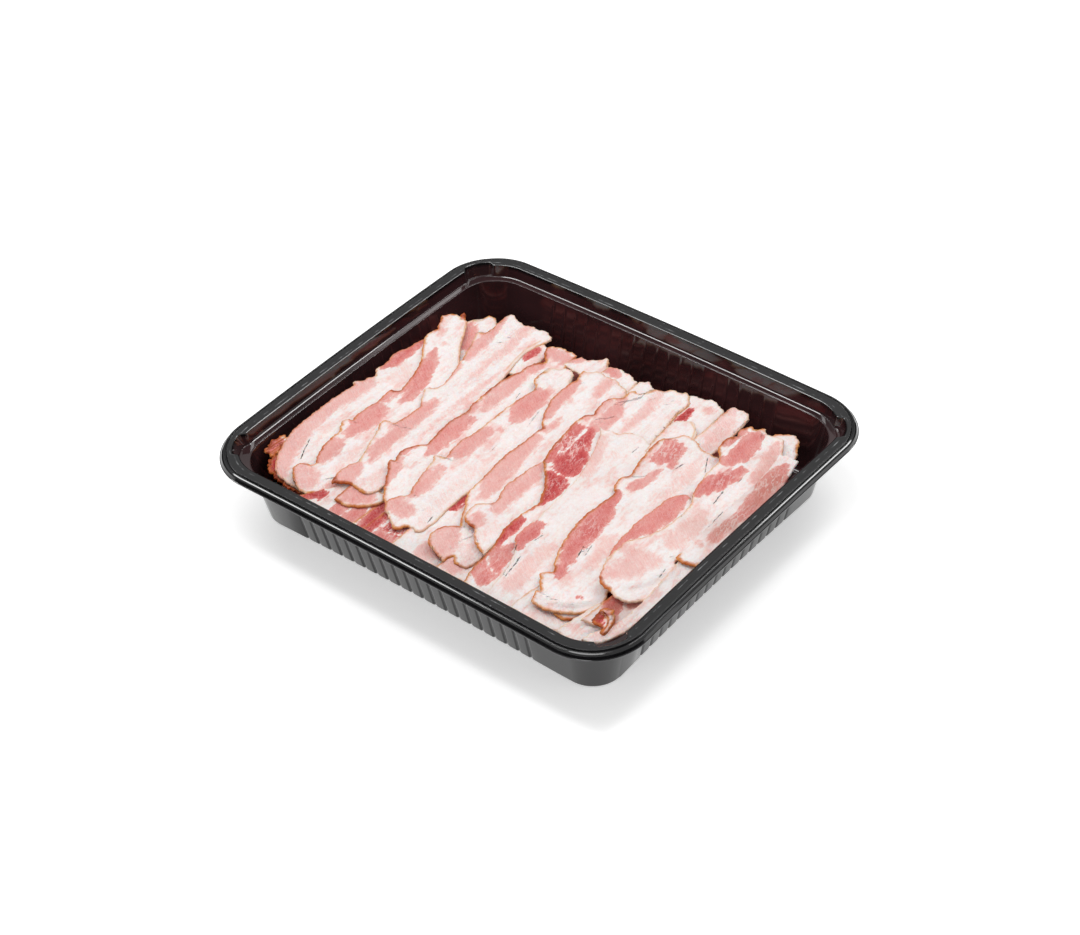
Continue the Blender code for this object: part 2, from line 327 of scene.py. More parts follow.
def heap_height(x, y):
    """Upper surface through the slices' left edges: a low, uneven heap."""
    rise = 0.8 * np.sin(x / 37.0 + 0.6) + 0.5 * np.sin(x / 16.0 - y / 45.0)
    droop = 2.2 * smooth((np.abs(y) / 100.0 - 0.45) / 0.55)
    return EDGE_LEVEL + rise - droop


def slice_height(x, y, layer):
    """Upper face of a slice. All layers follow one tilted sheet, as shingled slices do."""
    tilt = LAYER_STEP * (1.0 + (x - FIRST_EDGE) / EDGE_PITCH)
    waves = 0.28 * np.sin(y / 6.1 + 1.7 * np.sin(x / 11.0)) + 0.24 * np.sin(x / 4.7 - y / 9.3)
    waves += 0.16 * np.sin(y / 2.9 + x / 5.3)
    return heap_height(x, y) + layer * LAYER_STEP - tilt + waves


def curve(points, fractions):
    """Places at given fractions of a smooth curve's length."""
    p = np.array(points, float)
    padded = np.vstack([2 * p[0] - p[1], p, 2 * p[-1] - p[-2]])
    t = np.linspace(0, 1, 14, endpoint=False)[:, None]
    dense = []
    for a, b, c, d in zip(padded, padded[1:], padded[2:], padded[3:]):
        dense.append(b + 0.5 * t * (c - a + t * (2 * a - 5 * b + 4 * c - d + t * (3 * b - a - 3 * c + d))))
    dense = np.vstack(dense + [p[-1:]])
    length = np.concatenate([[0], np.cumsum(np.linalg.norm(np.diff(dense, axis=0), axis=1))])
    wanted = fractions * length[-1]
    return np.column_stack([np.interp(wanted, length, dense[:, k]) for k in (0, 1)])


def spread(length):
    """Fractions across a slice: close together at both edges, even between."""
    near = np.array((0.0, 0.25, 0.7, 1.4))
    count = max(2, int((length - 4.4) / CELL))
    middle = np.linspace(2.2, length - 2.2, count)
    return np.concatenate([near, middle, length - near[::-1]]) / length


def rag(line, rng, size):
    """Move a border's points in and out a little, except its ends."""
    step = np.gradient(line, axis=0)
    normal = np.column_stack([-step[:, 1], step[:, 0]])
    normal /= np.linalg.norm(normal, axis=1)[:, None] + 1e-9
    run = np.concatenate([[0], np.cumsum(np.linalg.norm(np.diff(line, axis=0), axis=1))])
    shift = np.zeros(len(line))
    for wave, share in ((8.3, 0.5), (3.7, 0.45), (1.9, 0.35)):
        shift += share * np.sin(run * 2 * math.pi / wave + rng.uniform(0, 6.3) + 1.3 * np.sin(run / wave))
    taper = np.minimum(run, run[-1] - run) / 2.0
    return line + normal * (shift * size * np.clip(taper, 0, 1))[:, None]


def patch_grid(spec, rng):
    """A grid of points that fills a slice's outline, rows from foot to head."""
    left, right = spec["left"], spec["right"]
    foot = (left[0],) + tuple(spec.get("foot", ())) + (right[0],)
    head = (left[-1],) + tuple(spec.get("head", ())) + (right[-1],)
    even = np.linspace(0, 1, 60)
    lengths = [np.linalg.norm(np.diff(curve(line, even), axis=0), axis=1).sum()
               for line in (left, right, foot, head)]
    down = spread(0.5 * (lengths[0] + lengths[1]))
    across = spread(max(0.5 * (lengths[2] + lengths[3]), 8.0))
    size = spec.get("rag", 0.35)
    west = rag(curve(left, down), rng, size)
    east = rag(curve(right, down), rng, 0.6 * size)
    south = rag(curve(foot, across), rng, 1.2 * size)
    north = rag(curve(head, across), rng, 1.6 * size)
    u = across[None, :, None]
    v = down[:, None, None]
    grid = (1 - u) * west[:, None] + u * east[:, None] + (1 - v) * south[None] + v * north[None]
    grid -= (1 - u) * (1 - v) * west[0] + u * (1 - v) * east[0]
    grid -= (1 - u) * v * west[-1] + u * v * east[-1]
    return grid


def segment_offsets(points, line):
    """Distance, signed side distance and part for each point and each segment of a line."""
    line = np.asarray(line, float)
    a = line[:-1, :2]
    run = line[1:, :2] - a
    rel = points[:, None, :] - a[None]
    squared = np.maximum((run ** 2).sum(1), 1e-9)
    part = np.clip((rel * run).sum(2) / squared, 0, 1)
    gap = rel - part[..., None] * run
    distance = np.linalg.norm(gap, axis=2)
    side = (run[:, 0] * rel[..., 1] - run[:, 1] * rel[..., 0]) / np.sqrt(squared)
    return distance, side, part


def streak_fields(points, streaks):
    """Signed reach into the lean streaks, and how dark the nearest one is."""
    reach = np.full(len(points), -9.0)
    weight = np.full(len(points), 1e-6)
    tone = np.zeros(len(points))
    for depth, *chain in streaks:
        line = np.array(chain if len(chain) > 1 else chain * 2, float)
        distance, _, part = segment_offsets(points, line)
        radius = line[:-1, 2] + part * (line[1:, 2] - line[:-1, 2])
        inside = (radius - distance).max(1)
        share = np.exp(np.clip(inside, -8, 8) * 1.3)
        tone += share * depth
        weight += share
        reach = np.maximum(reach, inside)
    return reach, tone / weight


def line_fields(points, lines, fade):
    """Signed distance to the nearest of some lines, and how much of it shows there."""
    offset = np.full(len(points), 9.0)
    amount = np.zeros(len(points))
    nearest = np.full(len(points), 1e9)
    for strength, *line in lines:
        distance, side, _ = segment_offsets(points, line)
        pick = distance.argmin(1)
        rows = np.arange(len(points))
        gap = distance[rows, pick]
        closer = gap < nearest
        nearest = np.where(closer, gap, nearest)
        offset = np.where(closer, side[rows, pick], offset)
        amount = np.where(closer, strength * smooth(1 - (gap - fade) / fade), amount)
    return offset, amount


def make_slice(name, spec, material):
    """A thin, soft-edged slice as a closed shell, with the fields its material reads."""
    rng = np.random.default_rng(sum(map(ord, name)))
    grid = patch_grid(spec, rng)
    rows, columns = grid.shape[:2]
    flat = grid.reshape(-1, 2)
    border = np.vstack([grid[:, 0], grid[-1], grid[::-1, -1], grid[0, ::-1]])
    edge = segment_offsets(flat, border)[0].min(1)
    on_left = segment_offsets(flat, grid[:, 0])[0].min(1)
    round_off = EDGE_ROUND * (1 - np.sqrt(1 - (1 - np.clip(edge / EDGE_ROUND, 0, 1)) ** 2))
    x, y = flat[:, 0], flat[:, 1]
    roll = np.zeros(len(flat))
    for height, half_width, *line in spec.get("rolls", ()):
        gap = segment_offsets(flat, np.array(line))[0].min(1)
        roll = np.maximum(roll, height * smooth(1 - gap / half_width))
    dip = EDGE_LEVEL - slice_height(x, y, spec["layer"]) - roll
    settled = flat + dip[:, None] * SLIDE
    base = EDGE_LEVEL - dip
    lift = spec.get("lift", 0.45) * np.exp(-on_left / 2.2) * (0.6 + 0.4 * np.sin(y / 7.0 + x))
    seed = rng.uniform(0, 200)
    own = 0.07 * np.sin(x / 1.7 + seed) * np.sin(y / 2.3 + seed)
    upper = base + lift + own - round_off
    thick = EDGE_THICKNESS + (SLICE_THICKNESS - EDGE_THICKNESS) * smooth(edge / 3.5)
    lower = base + lift - thick + 0.5 * round_off
    points = np.vstack([np.column_stack([settled, upper]), np.column_stack([settled, lower])])
    index = np.arange(rows * columns).reshape(rows, columns)
    a, b = index[:-1, :-1].ravel(), index[:-1, 1:].ravel()
    c, d = index[1:, 1:].ravel(), index[1:, :-1].ravel()
    size = rows * columns
    faces = np.column_stack([a, b, c, d]).tolist()
    faces += (np.column_stack([a, d, c, b]) + size).tolist()
    ring = np.concatenate([index[0, :-1], index[:-1, -1], index[-1, :0:-1], index[:0:-1, 0]])
    after = np.roll(ring, -1)
    faces += np.column_stack([ring, ring + size, after + size, after]).tolist()

    reach, tone = streak_fields(flat, spec.get("lean", ()))
    reach += 2.6 * smooth(1 - on_left / 4.0) * smooth((reach + 3.0) / 3.0)
    for width, *vein in spec.get("veins", ()):
        gap = segment_offsets(flat, vein)[0].min(1)
        reach = np.minimum(reach, (gap - width) * 1.5)
    brown = np.full(len(flat), spec.get("brown", 0.4))
    brown *= np.where(on_left < edge + 0.05, 1.0, spec.get("other_edges", 0.75))
    for amount, px, py, radius in spec.get("scorched", ()):
        gap = np.hypot(x - px, y - py) - radius
        brown = np.maximum(brown, amount * smooth(1 - gap / 4.0))
    marbled = np.zeros(len(flat))
    for amount, px, py, radius in spec.get("marbled", ()):
        marbled = np.maximum(marbled, amount * smooth(1.3 - np.hypot(x - px, y - py) / radius))
    # Painted shade: brown-grey patches where a slice lies in the shade of the tray's wall.
    painted_shade = np.zeros(len(flat))
    for amount, px, py, radius in spec.get("painted_shade", ()):
        painted_shade = np.maximum(painted_shade, amount * smooth(1.3 - np.hypot(x - px, y - py) / radius))
    slit, slit_amount = line_fields(flat, spec.get("slits", ()), 1.0)
    crease, crease_amount = line_fields(flat, spec.get("creases", ()), 1.2)
    place = np.column_stack([flat, np.full(len(flat), seed)])
    fields = {"reach": reach, "tone": tone, "edge": edge, "brown": brown, "slit": slit,
              "slit_amount": slit_amount, "crease": crease, "crease_amount": crease_amount,
              "marbled": marbled, "painted_shade": painted_shade, "place": place}
    fields = {key: np.concatenate([value, value]) for key, value in fields.items()}
    piece = make_piece("bacon_" + name, points, faces, material, fields)
    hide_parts(name)
    return piece


# Each slice: its layer in the heap, its outline (left and right sides from foot to head,
# foot and head from left to right), and what shows on it. A lean streak is its depth of
# colour and a chain of (x, y, half width). A slit, crease or vein is its strength or width
# and a line, a roll its height, half width and a line. Scorched and marbled places, and
# places of painted shade (brown-grey where a slice lies beside the tray's wall), are
# (amount, x, y, radius).
SLICES = {
    "slice_1": dict(
        layer=1, brown=0.45,
        left=((-97, -92.5), (-103, -84), (-106, -77), (-108.5, -70), (-110.3, -60), (-110.7, -45),
              (-111, -35), (-110.3, -25), (-109.5, -19), (-111.4, -16.5), (-110.6, -14.8),
              (-108.5, -13), (-107.8, -9), (-105.8, -7), (-107, -4), (-109.5, 0), (-108.4, 4),
              (-109, 9), (-110.4, 14), (-109.6, 18.5), (-108, 21), (-107.2, 28), (-105.5, 37)),
        right=((-70, -96), (-74, -60), (-75, -30), (-73, 0), (-82, 37)),
        foot=((-92, -95.5), (-85, -97), (-76, -97.5)), head=((-97, 38.5),),
        lean=((0.35, (-104.5, -12, 4), (-105, -25, 5), (-106, -35, 4), (-106.3, -50, 4.5),
               (-105.5, -60, 5), (-102.5, -70, 5.3), (-99.5, -80, 5.3), (-95, -89, 4.5),
               (-90, -94, 2.5)),
              (0.66, (-105.5, 32, 2), (-105.5, 25, 3.2), (-105.5, 15, 3.6), (-105, 8, 3.5),
               (-106, 3, 2)),
              (0.15, (-98, 10, 4), (-95, 3, 5)),
              (0.18, (-97, -45, 1.2), (-95, -60, 1.5), (-92, -72, 1.2))),
        slits=((0.8, (-97.5, -66), (-96, -69.5)), (1.0, (-95, -72), (-92, -78)))),
    "slice_2": dict(
        layer=2, brown=0.6,
        left=((-83.5, -92.5), (-87.5, -89.5), (-90, -85.5), (-89.6, -82), (-86, -80), (-83, -78.3),
              (-85, -74), (-88, -68), (-89.7, -60), (-90, -54), (-90.3, -50.5), (-93, -47),
              (-94.3, -43.5), (-92.5, -40.5), (-91, -40), (-92, -34), (-91.5, -27), (-90.3, -21),
              (-91.2, -15), (-91.3, -10.5), (-88, -8.3), (-87, -6), (-88, -2), (-89.3, 3),
              (-90.7, 8), (-92.5, 13), (-95, 19), (-97, 21.5), (-101, 27), (-106.2, 35),
              (-107, 38), (-105.5, 44), (-107, 47), (-109.5, 52), (-111, 55), (-108.5, 58.5),
              (-105, 60.8)),
        right=((-59, -93), (-56, -80), (-54, -60), (-56, -33), (-55, -3), (-66, 12), (-75, 26),
               (-80, 33), (-86, 41), (-91, 50), (-97, 59.5)),
        foot=((-80, -95.5), (-76, -97.2), (-70, -97.5), (-69.6, -95), (-66, -96), (-62, -94.3)),
        head=((-102, 60),),
        lean=((0.56, (-95.5, 31, 0.8), (-92, 26, 2.8), (-88, 17, 4.6), (-84.5, 7, 5),
               (-81.5, -3, 4.6), (-79.8, -10, 2.8), (-80, -15, 1.2)),
              (0.5, (-88.3, -11, 2.6), (-88, -17, 3)),
              (0.5, (-85, -24, 3.5), (-85, -30, 6), (-84.8, -37, 7), (-84.5, -44, 5),
               (-84, -49, 3.5)),
              (0.46, (-85, -56, 2), (-84.5, -60, 4.5), (-82.5, -67, 4.5), (-81, -73, 2.8)),
              (0.32, (-84, -86, 5.2), (-79, -88, 6.5), (-76, -91, 5)),
              (0.35, (-65, -83, 3.5), (-64, -90, 4)),
              (0.2, (-73, -55, 2), (-72, -65, 3), (-71, -75, 2.5)),
              (0.2, (-107, 55, 2.5), (-106, 50, 2)), (0.3, (-103, 45, 2.5), (-101, 42, 2.5)),
              (0.35, (-93.5, 36.5, 1.6))),
        scorched=((0.9, -66, -96, 3), (1.0, -88, -9, 2), (0.7, -92, -45, 2))),
    "slice_3": dict(
        layer=3, brown=0.45,
        left=((-67.5, -81), (-68.7, -76), (-69, -72), (-68, -67), (-66.2, -63.5), (-67, -60.5),
              (-69.5, -54), (-72, -47), (-74.5, -39), (-76.5, -36), (-77.7, -31.5), (-75.5, -30),
              (-72, -29.5), (-70.5, -26), (-70, -20), (-70, -12), (-72, -8), (-76, -1.5),
              (-77.3, 2), (-73.5, 4.5), (-72.2, 9), (-73, 15), (-75.5, 24), (-77.5, 31),
              (-80.5, 40), (-83.5, 48), (-86, 54), (-82.3, 56.5), (-82, 64), (-82.8, 70),
              (-82.6, 77)),
        right=((-45, -78), (-43.5, -73), (-44, -58), (-46.5, -33), (-47, 0), (-48, 20), (-50, 33),
               (-51.7, 42), (-53.3, 50), (-54, 58), (-52.3, 65), (-50.3, 73.5)),
        foot=((-66.5, -83.5), (-64, -82), (-60, -79.5), (-55, -79), (-50, -80.3), (-47, -79.5)),
        head=((-80.5, 79), (-78, 77.5), (-75.5, 75.8), (-73, 76.2), (-70, 74.8), (-67, 76.3),
              (-64.5, 77.3), (-62, 76), (-58.5, 77.5), (-56, 77.8), (-53, 76)),
        lean=((0.42, (-82, 72, 1.2), (-80.5, 65, 2), (-79.5, 58, 2.8), (-78, 50, 3.6),
               (-77.2, 42, 2.8), (-76, 34, 1.6)),
              (0.27, (-66.5, 75, 3.4), (-66, 65, 3.4), (-64.5, 55, 3), (-64, 45, 2.6),
               (-64, 35, 2.3), (-64.2, 22, 1.8)),
              (0.25, (-55.5, 32, 0.8), (-55.3, 20, 1.4), (-55, 5, 1.6), (-54.5, -10, 1.7),
               (-54, -25, 1.6), (-54.3, -35, 0.8)),
              (0.35, (-74.8, 28, 0.8), (-73.6, 16, 1.1), (-74.5, 6, 1.3)),
              (0.42, (-66, -3, 2), (-65.8, -10, 4.2), (-65.3, -20, 4.7), (-65.5, -32, 4.8),
               (-65.2, -44, 4.6), (-63.5, -53, 3.6), (-61, -61, 1)),
              (0.38, (-63, -66, 2.5), (-63, -72, 5), (-62, -78, 5.5)),
              (0.15, (-54, -58, 1.5), (-51.5, -66, 3.2), (-49, -75, 4))),
        slits=((0.4, (-79, 28), (-78.2, 16), (-77.5, 5)),),
        creases=((0.5, (-54.6, 68), (-56, 60), (-55.3, 50), (-53.6, 40)),),
        scorched=((1.0, -66, -83, 3), (0.8, -60, -80, 2), (0.7, -52, -80, 3), (0.6, -76, -34, 3),
                  (0.5, -52, 66, 3))),
    "slice_4": dict(
        layer=4, brown=0.75,
        left=((-38, -77), (-43, -70), (-46, -65.5), (-50, -59.5), (-54.3, -53.2), (-52, -51.5),
              (-53.5, -47.5), (-54.3, -44), (-53, -40), (-51, -36.5), (-48, -33.5), (-47.3, -31),
              (-48.8, -22), (-49.6, -15), (-49.2, -8), (-47.5, -1), (-49, 5), (-49.5, 14),
              (-50, 22), (-49.5, 30), (-48, 36), (-46.5, 42), (-46.3, 47), (-44.5, 51.5),
              (-41, 55.5), (-43, 58.5), (-46.5, 62.5), (-48, 66)),
        right=((-24, -79), (-18, -60), (-18, -30), (-16, 0), (-18, 35), (-24, 50), (-29.5, 60),
               (-30, 66), (-31, 71)),
        foot=((-34, -79.5), (-28, -80)),
        head=((-46, 69.3), (-42.5, 70.5), (-40, 71.8), (-37, 71), (-34, 71.3)),
        lean=((0.42, (-44, 65, 3.5), (-38, 65, 5.5), (-34, 64, 5)),
              (0.46, (-41, 51, 3.2), (-41.5, 47, 3.6)),
              (0.4, (-42.5, 40, 3), (-43, 32, 4.6), (-43.3, 22, 5.2), (-42.8, 13, 4.4),
               (-41.5, 6, 2.2)),
              (0.42, (-46, 6, 2.2), (-46, 2, 1.6)),
              (0.53, (-42.5, -4, 3), (-43.8, -12, 5.5), (-43.5, -20, 5.6), (-42.6, -28, 4.6),
               (-41.2, -35, 2.8), (-41, -40, 1.2)),
              (0.5, (-51, -38, 1.4), (-51.8, -44, 2)),
              (0.45, (-50, -50, 2.2), (-48, -56, 3.3), (-45.5, -62, 2.6), (-43.5, -68, 1)),
              (0.35, (-42, -47, 1), (-41, -51, 1.2)), (0.2, (-38, -62, 1), (-37.5, -70, 1))),
        slits=((0.6, (-34.7, 26.5), (-34.3, 24.5)),)),
    "slice_5": dict(
        layer=5, brown=0.5,
        left=((-31, -83.5), (-34, -79.5), (-34.3, -75.5), (-31.5, -71), (-29, -67.5), (-31, -62),
              (-33, -55), (-34.8, -47), (-36, -41), (-38, -37.2), (-36, -35.7), (-32.3, -35.5),
              (-33.5, -31), (-34.8, -24), (-34.7, -19), (-33.4, -12), (-33.3, 0), (-33.2, 10),
              (-32.5, 20), (-32, 27), (-31, 33), (-32.5, 37.5), (-36, 40.5), (-36.5, 46),
              (-35, 50)),
        right=((-5.5, -84), (-5, -75), (-6, -65), (-6, -50), (-3.5, -37), (-1, 0), (-2, 25),
               (-12, 40), (-19.5, 50)),
        foot=((-26, -86), (-22, -89), (-18, -91), (-15.5, -89), (-14.8, -86.3), (-11, -85.5),
              (-8, -87)),
        head=((-34.5, 54), (-31, 56), (-27, 59), (-23.5, 58), (-21, 54)),
        lean=((0.5, (-25, 34, 5), (-24.8, 26, 6.4), (-24.5, 18, 6.2), (-23.5, 10, 3.6)),
              (0.4, (-25, -1.5, 1.6), (-23.5, -2, 1.2)),
              (0.43, (-28, -7, 3.6), (-28.5, -15, 4.8), (-28.8, -24, 4.6), (-29.5, -31, 2.8)),
              (0.42, (-29, -43, 2.6), (-28.3, -50, 4.3), (-27.3, -58, 4.3), (-26.7, -66, 2.6)),
              (0.4, (-28, -77, 5.6), (-22.5, -77.5, 5.4)),
              (0.14, (-15, -32, 2.5), (-13.5, -45, 5), (-13, -58, 5.2), (-12.5, -72, 5),
               (-10, -80, 4.5)),
              (0.3, (-28, 42, 0.8), (-20, 38, 0.8))),
        slits=((0.4, (-17, 20), (-15, 10)), (0.8, (-17.6, -14.5), (-17.3, -16.5)),
               (0.8, (-8.2, -75), (-7.8, -77))),
        scorched=((0.8, -32, 7, 3), (0.8, -25, 38, 2), (0.6, -35, 44, 4), (0.7, -16, -89, 3))),
    "slice_6": dict(
        layer=6, brown=0.6,
        left=((4, -90.5), (1, -88), (-1, -84), (-1.2, -80), (1, -75), (4, -72), (7, -70.5),
              (4, -67), (1.5, -62), (-1, -57.5), (-4, -53), (-6.5, -47.5), (-7.2, -38),
              (-8.3, -28), (-9.4, -18), (-9, -8), (-8.6, 0), (-8.6, 8), (-8, 12), (-10, 14.5),
              (-13.5, 20), (-16, 26), (-18.3, 32), (-19.3, 38), (-19, 48), (-18, 54),
              (-19.8, 59), (-19.5, 62)),
        right=((30, -90), (30.5, -80), (26, -58), (24, -38), (23, 12), (14, 40), (10.5, 60)),
        foot=((9, -92.3), (14, -94.3), (16.5, -95), (17.5, -91), (19, -89.8), (21, -92.3),
              (25, -93.2), (28.5, -92.8)),
        head=((-16, 63), (-14, 66), (-11, 66), (-5, 65.8), (0, 66), (4, 64), (8, 62.5)),
        lean=((0.45, (-16, 52, 2), (-15.3, 44, 3.2), (-14.5, 36, 3.4), (-13, 28, 3),
               (-11.3, 21, 1.8)),
              (0.3, (-9.5, 38, 1)), (0.4, (-5.3, 24, 1), (-4.5, 17, 2), (-5, 11, 1.8)),
              (0.4, (-4.5, 4, 3), (-4, -5, 4.4), (-3.5, -16, 5.3), (-2, -28, 5.6), (0, -38, 5),
               (2, -46, 3)),
              (0.35, (-3, 62, 3), (-2.5, 56, 3.4), (-1, 50, 2.5)),
              (0.36, (6, -78, 6), (9, -84, 7), (13, -90, 4.5)),
              (0.2, (21, -80, 3.5), (25, -86, 4.5), (26, -90, 3))),
        scorched=((0.9, -8, 12, 2), (0.7, 3, -65, 4), (0.6, 20, -92, 4))),
    "slice_7": dict(
        layer=7, brown=0.5,
        left=((20, -75.5), (16, -70.8), (13.2, -67.5), (9, -66.8), (5.5, -65.5), (3, -61),
              (2.3, -57), (3.3, -52.5), (6, -50), (9.3, -47.5), (8.6, -43.5), (7, -39),
              (5.5, -33), (6, -28), (6.5, -20), (7.3, -13), (9, -9), (10, 0), (12, 8)),
        right=((30, -80), (29, -70), (29.5, -57), (33, -42), (33, -20), (34, 8)),
        foot=((24, -77.3), (28, -79.3)), head=((22, 9),),
        lean=((0.38, (11, -14, 2.5), (12, -22, 5), (12, -32, 5.2), (12.2, -42, 4.6),
               (13.5, -51, 2.8)),
              (0.38, (10, -60, 3.5), (12.5, -63, 3.8)), (0.14, (22, -62, 4), (21, -70, 3.5))),
        scorched=((0.8, 9, -67, 3), (0.6, 24, -77, 3))),
    "slice_8": dict(
        layer=8, brown=0.65,
        left=((34, -100.5), (31, -90.5), (30.3, -80), (29, -72), (27.2, -66), (25.2, -59),
              (25, -50), (26, -42), (27, -35), (24.5, -29), (21.5, -23), (17.5, -17.5),
              (13, -12.5), (9.2, -8.3), (7.3, -3), (5.8, 2), (4.8, 8), (4, 15), (2.8, 22),
              (2.7, 28), (3.7, 33), (6.2, 36), (5.2, 40), (4.3, 46), (5, 50.5), (8, 53.5),
              (10.7, 56.5), (10.3, 61), (12.3, 64.3)),
        right=((62, -101), (63, -85), (57, -58), (55, -35), (46, -8), (45, 30), (44.3, 42),
               (43, 52), (41.5, 62), (42, 71)),
        foot=((40, -102), (50, -102)),
        head=((16, 64), (18.5, 67.5), (20, 71.5), (24, 73), (26.5, 76), (29, 77), (32, 77.2),
              (34, 79.3), (37, 78), (40, 75)),
        lean=((0.45, (12, 53, 2.4), (14, 46, 4.6), (14.8, 38, 5.3), (14.5, 31, 5)),
              (0.38, (6.8, 48, 2), (7, 40, 1.8), (6.5, 31, 2)),
              (0.26, (23.5, 70, 2.6), (25.5, 62, 4), (27.3, 52, 4.2), (27, 42, 3.2), (27, 35, 2)),
              (0.72, (6.5, 24, 2), (7, 16, 3), (7.5, 8, 2.8), (8.5, 1, 2.4), (10.5, -5, 2)),
              (0.86, (13, 26, 3), (13.5, 18, 5), (16, 10, 7), (19.5, 2, 8.5), (22, -5, 7.5)),
              (0.88, (20, -14, 4), (25, -17, 5.5), (27.5, -23, 4.5), (28, -30, 2.6), (28, -34, 1)),
              (0.6, (26.5, -39.5, 0.9)),
              (0.85, (28.3, -50, 3), (28.7, -57, 3.4), (29.3, -64, 2.4), (29.8, -70, 1)),
              (0.6, (36, -68, 2.5), (36.5, -74, 5), (37.5, -82, 6.5), (39, -89, 6),
               (40.5, -94, 4))),
        veins=((0.45, (15, -9.5), (20, -11.5), (25, -11), (30, -13)),
               (0.7, (11.5, 24), (12, 16), (12.5, 8), (13, 0)), (0.3, (18, 14), (16.5, 4)),
               (0.3, (32, -80), (37, -85), (43, -87))),
        marbled=((0.7, 8, 10, 12), (0.5, 18, 8, 10), (0.3, 26, -20, 8), (0.4, 38, -82, 10)),
        scorched=((0.9, 5, 38, 3), (0.8, 5, 5, 5), (0.8, 10, -9, 3), (0.7, 11, 60, 3))),
    "slice_9": dict(
        layer=9, brown=0.25,
        left=((48, -101), (45.5, -88), (44, -80), (41.5, -72.5), (38, -66), (34, -61.5),
              (33, -55), (33.3, -45), (33, -35), (32, -22), (30.5, -8), (27, 5), (24, 14),
              (21, 21), (18, 27), (15, 30)),
        right=((69, -101), (70, -80), (64, -60), (60, -5), (55, 12), (49, 32)),
        foot=((56, -102), (64, -102)),
        head=((18, 29.3), (21.5, 31), (25, 31), (28, 33.2), (31, 35.8), (36, 36.8), (42, 35)),
        lean=((0.24, (23, 24, 2.6), (26.5, 14, 4), (30.5, 4, 4), (33.5, -3, 3)),
              (0.12, (34.5, 28, 1.5), (35.5, 18, 2.4), (37, 8, 2)),
              (0.68, (38.2, -46, 2.2), (38.3, -53, 3.8), (38.5, -60, 3.4), (40.5, -65, 1.4)),
              (0.1, (44, -12, 2), (46, -25, 3)),
              (0.24, (51, -58, 4), (53, -72, 5.3), (54, -88, 6))),
        slits=((0.9, (38.5, -66), (41, -73), (43.3, -80), (44.3, -86)),
               (0.8, (45, -72), (46.3, -78), (47.5, -85)),
               (0.8, (43.2, -53.5), (42.9, -55.5)), (0.7, (41, 27), (41, 25))),
        scorched=((0.5, 28, 34, 4),)),
    "slice_10": dict(
        layer=10, brown=0.7,
        left=((68, -91.3), (66.5, -88), (65.5, -84.5), (67, -83.3), (64, -80), (61.5, -76.5),
              (59, -74), (61, -72), (63.5, -69), (60, -63.5), (57, -57.5), (54.7, -51),
              (53, -44), (51.5, -36), (50.8, -27), (51.5, -18), (52.5, -10), (52.6, -6),
              (50, -4), (48.3, 0), (47.5, 4), (49.5, 7), (50.5, 10), (48.5, 16), (47, 24),
              (46, 31), (45.7, 37), (47, 42)),
        right=((95, -80), (97, -74), (95.5, -68), (93.5, -63), (90, -40), (91, 0), (88, 30),
               (82, 47)),
        foot=((72, -92.3), (78, -92), (84, -89.8), (89, -87.3), (92.5, -84)),
        head=((50, 44.5), (52, 48.3), (54.5, 50.5), (58, 50.7), (63, 49.3), (67, 47.2), (72, 46)),
        lean=((0.6, (52.5, 41, 3.5), (56.5, 38, 6), (56, 32, 6.5), (55, 27, 4)),
              (0.6, (62.5, 29, 2), (63, 26.5, 1.6)),
              (0.5, (60.7, 20, 1.4), (59.7, 12, 2.8), (58, 5, 3.4), (56.5, 1, 2.2)),
              (0.66, (55, -5, 1.8), (55.5, -12, 3.2), (57, -20, 5), (58.5, -30, 6.3),
               (60, -40, 5.8), (61.3, -50, 4.5), (64, -58, 3.6), (66.5, -65, 2.6),
               (68.5, -71, 1.2)),
              (0.75, (62.5, -32, 2.5), (62.5, -44, 2.5)),
              (0.2, (71, 42, 2), (73, 30, 4.5), (74.5, 18, 5), (75, 5, 3)),
              (0.22, (73, -32, 2.5), (74.5, -45, 4), (76, -56, 3.5)), (0.12, (88, -68, 4)),
              (0.8, (86, -76, 1.2))),
        marbled=((0.6, 55, 36, 8), (0.35, 59, -35, 10)),
        slits=((0.9, (65, -48), (66.5, -53)), (0.5, (67.7, -45), (68.7, -50)),
               (0.8, (67, 31), (66, 26)), (0.8, (75, 41), (77, 37.5), (79, 34))),
        scorched=((1.0, 47, 33, 4), (1.0, 48.5, 20, 4), (0.9, 51, 9, 3), (0.9, 49, 0, 3),
                  (0.6, 60, -73.5, 2)),
        rolls=((1.1, 6.0, (70, -85), (78, -84), (85, -80), (90, -74)),)),
    "slice_11": dict(
        layer=11, brown=0.35,
        left=((81, -52), (79, -48), (77, -41), (75.3, -33), (75, -25), (74.3, -18), (74.6, -12),
              (75.5, -4), (76, 4), (77.5, 9), (80.5, 12.5)),
        right=((107, -54), (107, -45), (105, -18), (100, 13)),
        foot=((90, -55), (100, -55)), head=((83, 14), (86, 12), (93, 14)),
        lean=((0.57, (82, 10, 3), (82, 2, 5.5), (81.5, -8, 6.3), (80.5, -17, 5.5),
               (78.3, -25, 3.4), (77, -33, 1.6), (78.2, -42, 1.4)),)),
    "slice_12": dict(
        # Painted shade: brown-grey patches on this slice's right, beside the tray's wall.
        layer=12, brown=0.45, painted_shade=((0.3, 104, 55, 14), (0.2, 104, 0, 14)),
        left=((86, -62), (83.5, -59), (81, -54), (79.5, -49), (78.3, -42), (78, -36),
              (78.7, -30.5), (80.5, -28), (84, -23), (86.8, -15), (88, -6), (88.6, 2),
              (87.8, 8), (85.3, 13.5), (83, 18), (81.5, 25), (80, 33), (79.8, 40), (79, 45),
              (75.3, 49), (73.3, 52), (72, 57), (72.8, 61), (75.5, 64), (74.3, 69), (75.3, 73)),
        right=((112, -58), (114, -50), (113.5, -42), (110.5, -33), (106.5, -27.5), (112, -10),
               (113.3, 2), (113, 33), (108, 57), (97, 77)),
